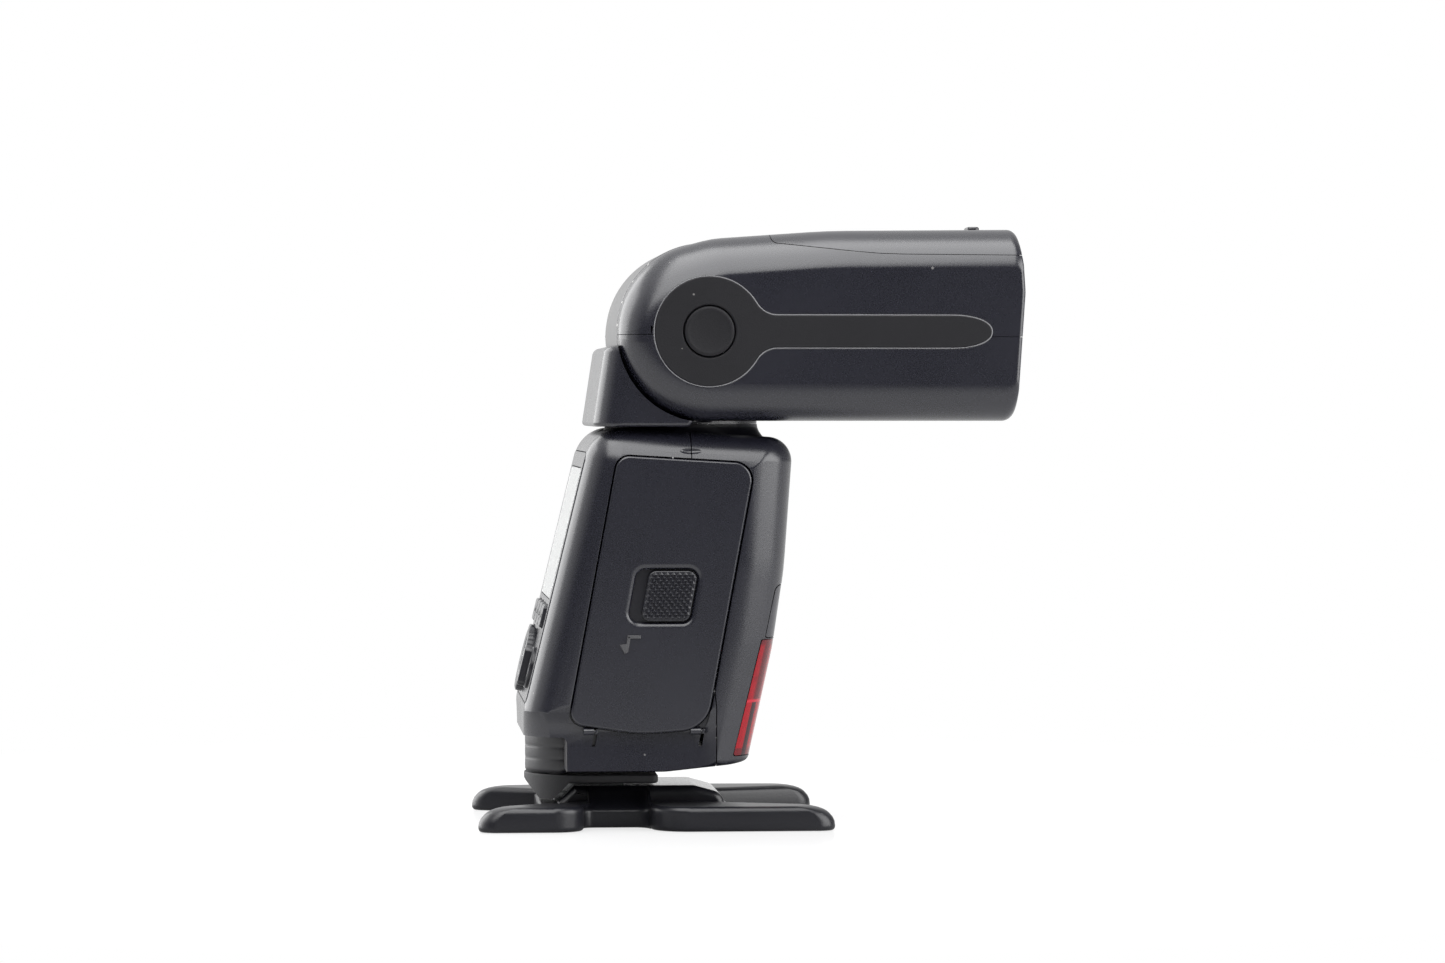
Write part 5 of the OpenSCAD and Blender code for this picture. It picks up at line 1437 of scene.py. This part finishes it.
low_half = [(DRUM_R - inset, drop - drum_half) for inset, drop in DRUM_EDGE]
outer = [(PIN_R, -drum_half), *low_half, *((r, -y) for r, y in low_half[::-1]), (PIN_R, drum_half)]
inside = [(PIN_R, drum_half - SHELL), (DRUM_R - SHELL, drum_half - SHELL), (DRUM_R - SHELL, SHELL - drum_half),
          (PIN_R, SHELL - drum_half)]
drum = lathe("drum", outer + inside, pivot_side, on_side, closed=True, sides=144)
cut(drum, rod(PASSAGE_R, yoke_z - 5, yoke_z + 16, (swivel_x, 0)))
piece(drum, "tilt_drum", "trim_black", "yoke", "yoke_drum")

# %% [markdown]
# ## Head
# The head splits into a lower shell, an upper shell and a top cover that hides the two pull-out panels. As with
# the body, one hollow block is cut first and split last. The spoon-shaped rubber inserts lie in shallow recesses
# in its sides, so the recess and the insert come from the same outline with a small gap.

# %% Head block
head_low, head_high = span("head_lower_shell", "head_upper_shell", "head_top_cover")
head_floor, head_half = head_low[2], head_high[1]
CHEEK_R = 21.7
head_front, head_top = pivot_x + 77.2, pivot_z + 25.2
rear_x, rear_rise = pivot_x - CHEEK_R, CHEEK_R * math.tan(math.radians(37.5))
head_corners = [(rear_x, head_floor, CHEEK_R), (head_front - 2.1, head_floor, 3), (head_front, pivot_z + 9.6, 12),
                (head_front - 1, head_top, 2.5), (head_front - 47.5, head_top - 0.4, 150),
                (pivot_x + 1.3, pivot_z + 22.8, 25), (rear_x, pivot_z + rear_rise, CHEEK_R)]
ROOF, BACK = (12.0, 9.8, 1.65), (9.0, 7.5, 1.8)
HEAD_FILLETS = [9, 1, 1, ROOF, ROOF, ROOF, BACK]
OPEN_FRONT = -3


def head_block(wall, front):
    """The head's outside, or its inside at one wall's thickness, with another at the front."""
    walls = [wall, front, front, wall, wall, wall, wall]
    return block("head", head_corners, head_half, HEAD_FILLETS, walls)


head = cut(head_block(0.0, 0.0), head_block(2, OPEN_FRONT))
print("head", len(head.data.polygons), "faces")

# %% Head cuts
TONGUE, BULKHEAD = 113.0, -45.0
CHEEK_GAP = 0.4
INSERT_R, INSERT_ARM, INSERT_BLEND, INSERT_TIP = 13.3, 3.9, 6.0, 9.5
INSERT_GAP, RECESS = 0.26, 0.9
BUTTON_HOLE_R = 6.3
FAR = 90.0
insert_tip = span("side_insert_right")[1][0] - pivot_x


def spoon(grow=0.0):
    """Outline of the side insert: a disc that blends into an arm with a round tip."""
    radius, arm, curve = INSERT_R + grow, INSERT_ARM + grow, INSERT_BLEND - grow
    reach = math.sqrt((radius + curve) ** 2 - (arm + curve) ** 2)
    meet = math.degrees(math.atan2(arm + curve, reach))
    turns = np.radians(np.linspace(90, 0, 13))
    tip_x = insert_tip + grow - INSERT_TIP + INSERT_TIP * np.cos(turns)
    tip = np.stack((tip_x, arm * np.sin(turns) ** 0.9), axis=1)
    blend_in = arc((reach, arm + curve), curve, 180 + meet, 270, 8)[1:]
    upper = np.concatenate((arc((0, 0), radius, 180, meet, 4), blend_in, tip))
    lower = upper[-2:0:-1] * (1, -1)
    return np.concatenate((upper, lower))[::-1] + pivot_side


tongue_end, bulkhead_end = ((FAR * math.cos(t), FAR * math.sin(t)) for t in np.radians((TONGUE, BULKHEAD)))
drum_space = [*arc((0, 0), CRADLE_R, BULKHEAD, TONGUE, 4), tongue_end, (-FAR, FAR), (-FAR, -FAR), (0, -FAR),
              bulkhead_end]
cut(head, prism(np.array(drum_space) + pivot_side, -drum_half - CHEEK_GAP, drum_half + CHEEK_GAP),
    *[cutter(spoon(INSERT_GAP), s * (head_half - RECESS), s * head_half, 0.15) for s in (-1, 1)],
    rod(BUTTON_HOLE_R, -head_half - 2, -head_half + 4, pivot_side, on_side))
print("cut head", len(head.data.polygons), "faces")

# %% Head split
SEAM_HALF_GAP = 0.07
SEAM_REAR_DROP, SEAM_FRONT_DROP = 0.5, 1.6
LIP_OUT, LIP_IN = (1.0, 0.5), (1.9, OPEN_FRONT)
cover_x, cover_z = pivot_x + 14.7, head_top - 6.6
grip_low, grip_high = span("wide_panel")
GRIP_HALF, GRIP_GAP = 5.6, 0.3
grip_x = head_front - 11.2


def seam_side(s):
    """Everything above (1) or below (-1) the slanting seam."""
    rear = (pivot_x - REACH, pivot_z - SEAM_REAR_DROP + s * SEAM_HALF_GAP)
    front = (head_front + REACH, pivot_z - SEAM_FRONT_DROP + s * SEAM_HALF_GAP)
    return prism([rear, front, (front[0], front[1] + s * FAR), (rear[0], rear[1] + s * FAR)])


def cover_tool(grow):
    """Everything that the top cover takes from the head."""
    x, z, front, above = cover_x - grow, cover_z - grow, head_front + 9, head_top + 9
    return prism(outline([(x - 0.5, above, 0.1), (x + 1.0, z + 3.1, 1.6), (cover_x + 27, z + 0.3, 120),
                          (front, z, 0.1), (front, above, 0.1)]))


def lip(rear, low_z, high_z):
    """Inner lip behind a seam: a slice of the wall's inner half."""
    ring = cut(head_block(*LIP_OUT), head_block(*LIP_IN))
    return common(ring, box((rear, -REACH, low_z), (head_front + 5, REACH, high_z)))


lower = common(copy_of(head, "lower"), seam_side(-1))
upper = cut(common(copy_of(head, "upper"), seam_side(1)), cover_tool(0.1))
top = common(head, cover_tool(-0.05))
seam_lip = lip(pivot_x + 30, pivot_z - SEAM_FRONT_DROP - 1.2, pivot_z - SEAM_REAR_DROP + 1.0)
cover_lip = lip(pivot_x + 40, cover_z - 1.2, cover_z + 1.2)
cut(upper, seam_lip, keep=True)
cut(top, cover_lip, keep=True)
gather(lower, seam_lip)
gather(upper, cover_lip)
notch_half = GRIP_HALF + GRIP_GAP
cut(top, box((grip_x - GRIP_GAP, -notch_half, cover_z), (grip_x + 30, notch_half, head_top + 9)))
for made, name in ((lower, "lower"), (upper, "upper")):
    piece(made, f"head_shell_{name}", "case_black", "head", f"head_{name}_shell")
piece(top, "head_cover_top", "case_black", "head", "head_top_cover")

# %% [markdown]
# A thin pale ring lies in the gap round each insert. A pale colour in the finish alone
# would lie on the rubber, not beside it.

# %% Inserts and lock button
INSERT_SINK, INSERT_PROUD = 0.85, 0.3
BUTTON_R, BUTTON_GAP, BUTTON_PROUD = 6.1, 0.2, 0.7
GAP_LINE_IN, GAP_LINE_W = 0.03, 0.22
GAP_LINE_LOW, GAP_LINE_HIGH = 0.8, 0.05
BUTTON_DISH = ((0.0, 0.55), (0.16, 0.16), (0.55, 0.0), (1.0, 0.06), (1.8, 0.22), (BUTTON_R - 1.0, 0.3))

for name, s in (("side_insert_right", -1), ("side_insert_left", 1)):
    insert = plate(name, spoon(), s * (head_half - INSERT_SINK), s * (head_half + INSERT_PROUD), 0.3)
    if s < 0:
        hole = disc(pivot_side, BUTTON_R + BUTTON_GAP)
        cut(insert, cutter(hole, -head_half + 2, -head_half - INSERT_PROUD, 0.55))
    piece(insert, name + "_rubber", "insert_rubber", "head", name)
    # thin pale ring in the gap round the insert
    section = ((GAP_LINE_IN, GAP_LINE_LOW), (GAP_LINE_W, GAP_LINE_LOW), (GAP_LINE_W, GAP_LINE_HIGH), (GAP_LINE_IN, GAP_LINE_HIGH))
    rings = [[on_side(*p, s * (head_half - drop)) for p in offset(spoon(), -reach)] for reach, drop in section]
    piece(skin("line", rings, capped=False), name + "_dust_line", "dust_grey", "head")
face = -head_half - BUTTON_PROUD
button_profile = [(BUTTON_R, -head_half + 4.2), *((BUTTON_R - inset, face + dip) for inset, dip in BUTTON_DISH)]
button = lathe("button", button_profile, pivot_side, on_side)
piece(button, "head_lock_button_cap", "insert_rubber", "head_lock_button", "head_lock_button")

# %% [markdown]
# White bars on the head's cheek show the tilt at equal angles. A node tree lays them round the tilt axis, so the
# first angle, the step and the count stay numbers that can be changed.

# %% Tilt marks
MARK_FIRST, MARK_STEP, MARKS = 175.5, 15.0, 4
MARK_L, MARK_W, MARK_T, MARK_IN = 1.5, 0.5, 0.16, 0.9


def vector_of(tree, *parts):
    """Vector from its parts."""
    joined = add(tree, "ShaderNodeCombineXYZ")
    for socket, part in zip(joined.inputs, parts):
        feed(socket, part)
    return Wire(joined.outputs[0])


def row_of_marks(tree, inputs):
    """Small bars at equal angles round the tilt axis."""
    row = add(tree, "GeometryNodeMeshLine", count=inputs["Marks"])
    turn = inputs["First"] - wire(tree, "GeometryNodeInputIndex") * inputs["Step"]
    spot = vector_of(tree, inputs["Radius"] * turn.do("COSINE"), inputs["Radius"] * turn.do("SINE"))
    placed = add(tree, "GeometryNodeSetPosition", geometry=row, position=spot)
    mark = add(tree, "GeometryNodeMeshCube", size=vector_of(tree, MARK_T, inputs["Width"], inputs["Length"]))
    return scatter(tree, placed, mark, rotation=vector_of(tree, 0.0, 0.0, turn))


sizes = {"Radius": CHEEK_R, "First": math.radians(MARK_FIRST), "Step": math.radians(MARK_STEP), "Length": MARK_L,
         "Width": MARK_W, "Marks": MARKS}
marks = grow("tilt_marks", sizes, "mark_white", row_of_marks)
set_down(marks, lambda a, b, h: (pivot_x + a, -drum_half - CHEEK_GAP - MARK_IN + h, pivot_z + b))
piece(marks, "tilt_marks", "mark_white", "head")

# %% [markdown]
# ## Lens and panels
# The front lens spreads the light with rows of fine ribs. They repeat at one pitch, so a node tree lays a rib on
# each point of a line. The wide panel that pulls out above it is a clear plate with a dark grip, of which only a
# small nub shows when it is in.

# %% Lens
lens_low, lens_high = span("fresnel_lens")
LENS_CORNER = 9.0
RIB_PITCH, RIB_R, RIB_FLAT, RIB_SINK = 1.25, 0.55, 0.7, 0.2
RIB_MARGIN = 2.0
lens_half = lens_high[1]
rib_foot = lens_low[2] + LENS_CORNER


def rows_of_ribs(tree, inputs):
    """Rods side by side along a line."""
    line = add(tree, "GeometryNodeMeshLine", count=inputs["Rows"], offset=vector_of(tree, 0.0, inputs["Pitch"]))
    rib = add(tree, "GeometryNodeMeshCylinder", vertices=12, side_segments=1, radius=inputs["Rib"],
              depth=inputs["Length"])
    laid = add(tree, "GeometryNodeTransform", geometry=rib, rotation=(0, math.pi / 2, 0))
    return scatter(tree, line, laid)


lens_shape = outline([(-lens_half, lens_low[2], LENS_CORNER), (lens_half, lens_low[2], LENS_CORNER),
                      (lens_half, lens_high[2], 0.6), (-lens_half, lens_high[2], 0.6)])
lens_plate = plate("lens", lens_shape, lens_low[0], lens_high[0], 0.2, place=on_front)
rows = int((lens_high[2] - rib_foot - RIB_MARGIN) / RIB_PITCH)
sizes = {"Pitch": RIB_PITCH, "Rib": RIB_R, "Length": 2 * (lens_half - RIB_MARGIN), "Rows": rows}
ribs = grow("lens_ribs", sizes, "clear_window", rows_of_ribs)
set_down(ribs, lambda a, b, h: (lens_high[0] - RIB_SINK + h * RIB_FLAT, a, rib_foot + b))
piece(lens_plate, "lens_plate", "clear_window", "head", "fresnel_lens")
piece(ribs, "lens_ribs", "clear_window", "head", sharp=60)

# %% Wide panel
WIDE_HALF, WIDE_T, WIDE_CORNER = 29.0, 1.4, 1.5
GRIP_L, GRIP_DROP = 9.9, 0.35
wide_z, wide_front = grip_low[2], grip_x + 9
wide_shape = round_rect(((grip_low[0] + wide_front) / 2, 0), wide_front - grip_low[0], 2 * WIDE_HALF, WIDE_CORNER)
wide = plate("wide", wide_shape, wide_z, wide_z + WIDE_T, 0.25, place=on_plan)
piece(wide, "wide_panel_plate", "diffuser", "wide_panel", "wide_panel")
grip_shape = round_rect((grip_x + GRIP_L / 2, 0), GRIP_L, 2 * GRIP_HALF, 0.8)
grip = plate("grip", grip_shape, wide_z + WIDE_T - 0.1, head_top - GRIP_DROP, 0.4, place=on_plan)
nub = plate("nub", round_rect((grip_x + 2.85, 0), 3.1, 7, 1.0), head_top - 1, grip_high[2], 0.5, place=on_plan)
piece(union(grip, nub), "wide_panel_grip", "trim_black", "wide_panel")

# %% [markdown]
# ## What is inside
# Cells, boards, shafts and the zoom drive already have their true shape from CAD. They keep it, and only get
# finishes: turned steel for what slides, a printed sleeve for the cells, green board for the circuits.

# %% Finishes of the CAD nodes
inner = {
    "brass": ["thread_insert"],
    "foot_metal": ["mounting_foot"],
    "gold": ["foot_contacts"],
    "bright_steel": ["foot_screws", "lock_pin", "battery_contacts", "swivel_spindle", "spindle_ring",
                     "zoom_motor"],
    "turned_steel": ["tilt_pins", "guide_rods", "zoom_screw"],
    "inner_grey": ["battery_holder", "terminal_sockets", "head_bracket", "panel_tray", "zoom_carriage"],
    "cell_wrap": ["battery_cells"],
    "sleeve": ["main_capacitor"],
    "board_green": ["main_board", "trigger_board"],
    "display": ["lcd_module"],
    "mirror": ["reflector", "focus_lamps"],
    "tube_glass": ["flash_tube"],
    "white_card": ["catchlight_panel"],
}
for finish, nodes in inner.items():
    for node in nodes:
        mesh = frame["nodes"][node].data
        mesh.materials.clear()
        mesh.materials.append(finishes[finish])
print("CAD nodes finished:", sum(len(nodes) for nodes in inner.values()))
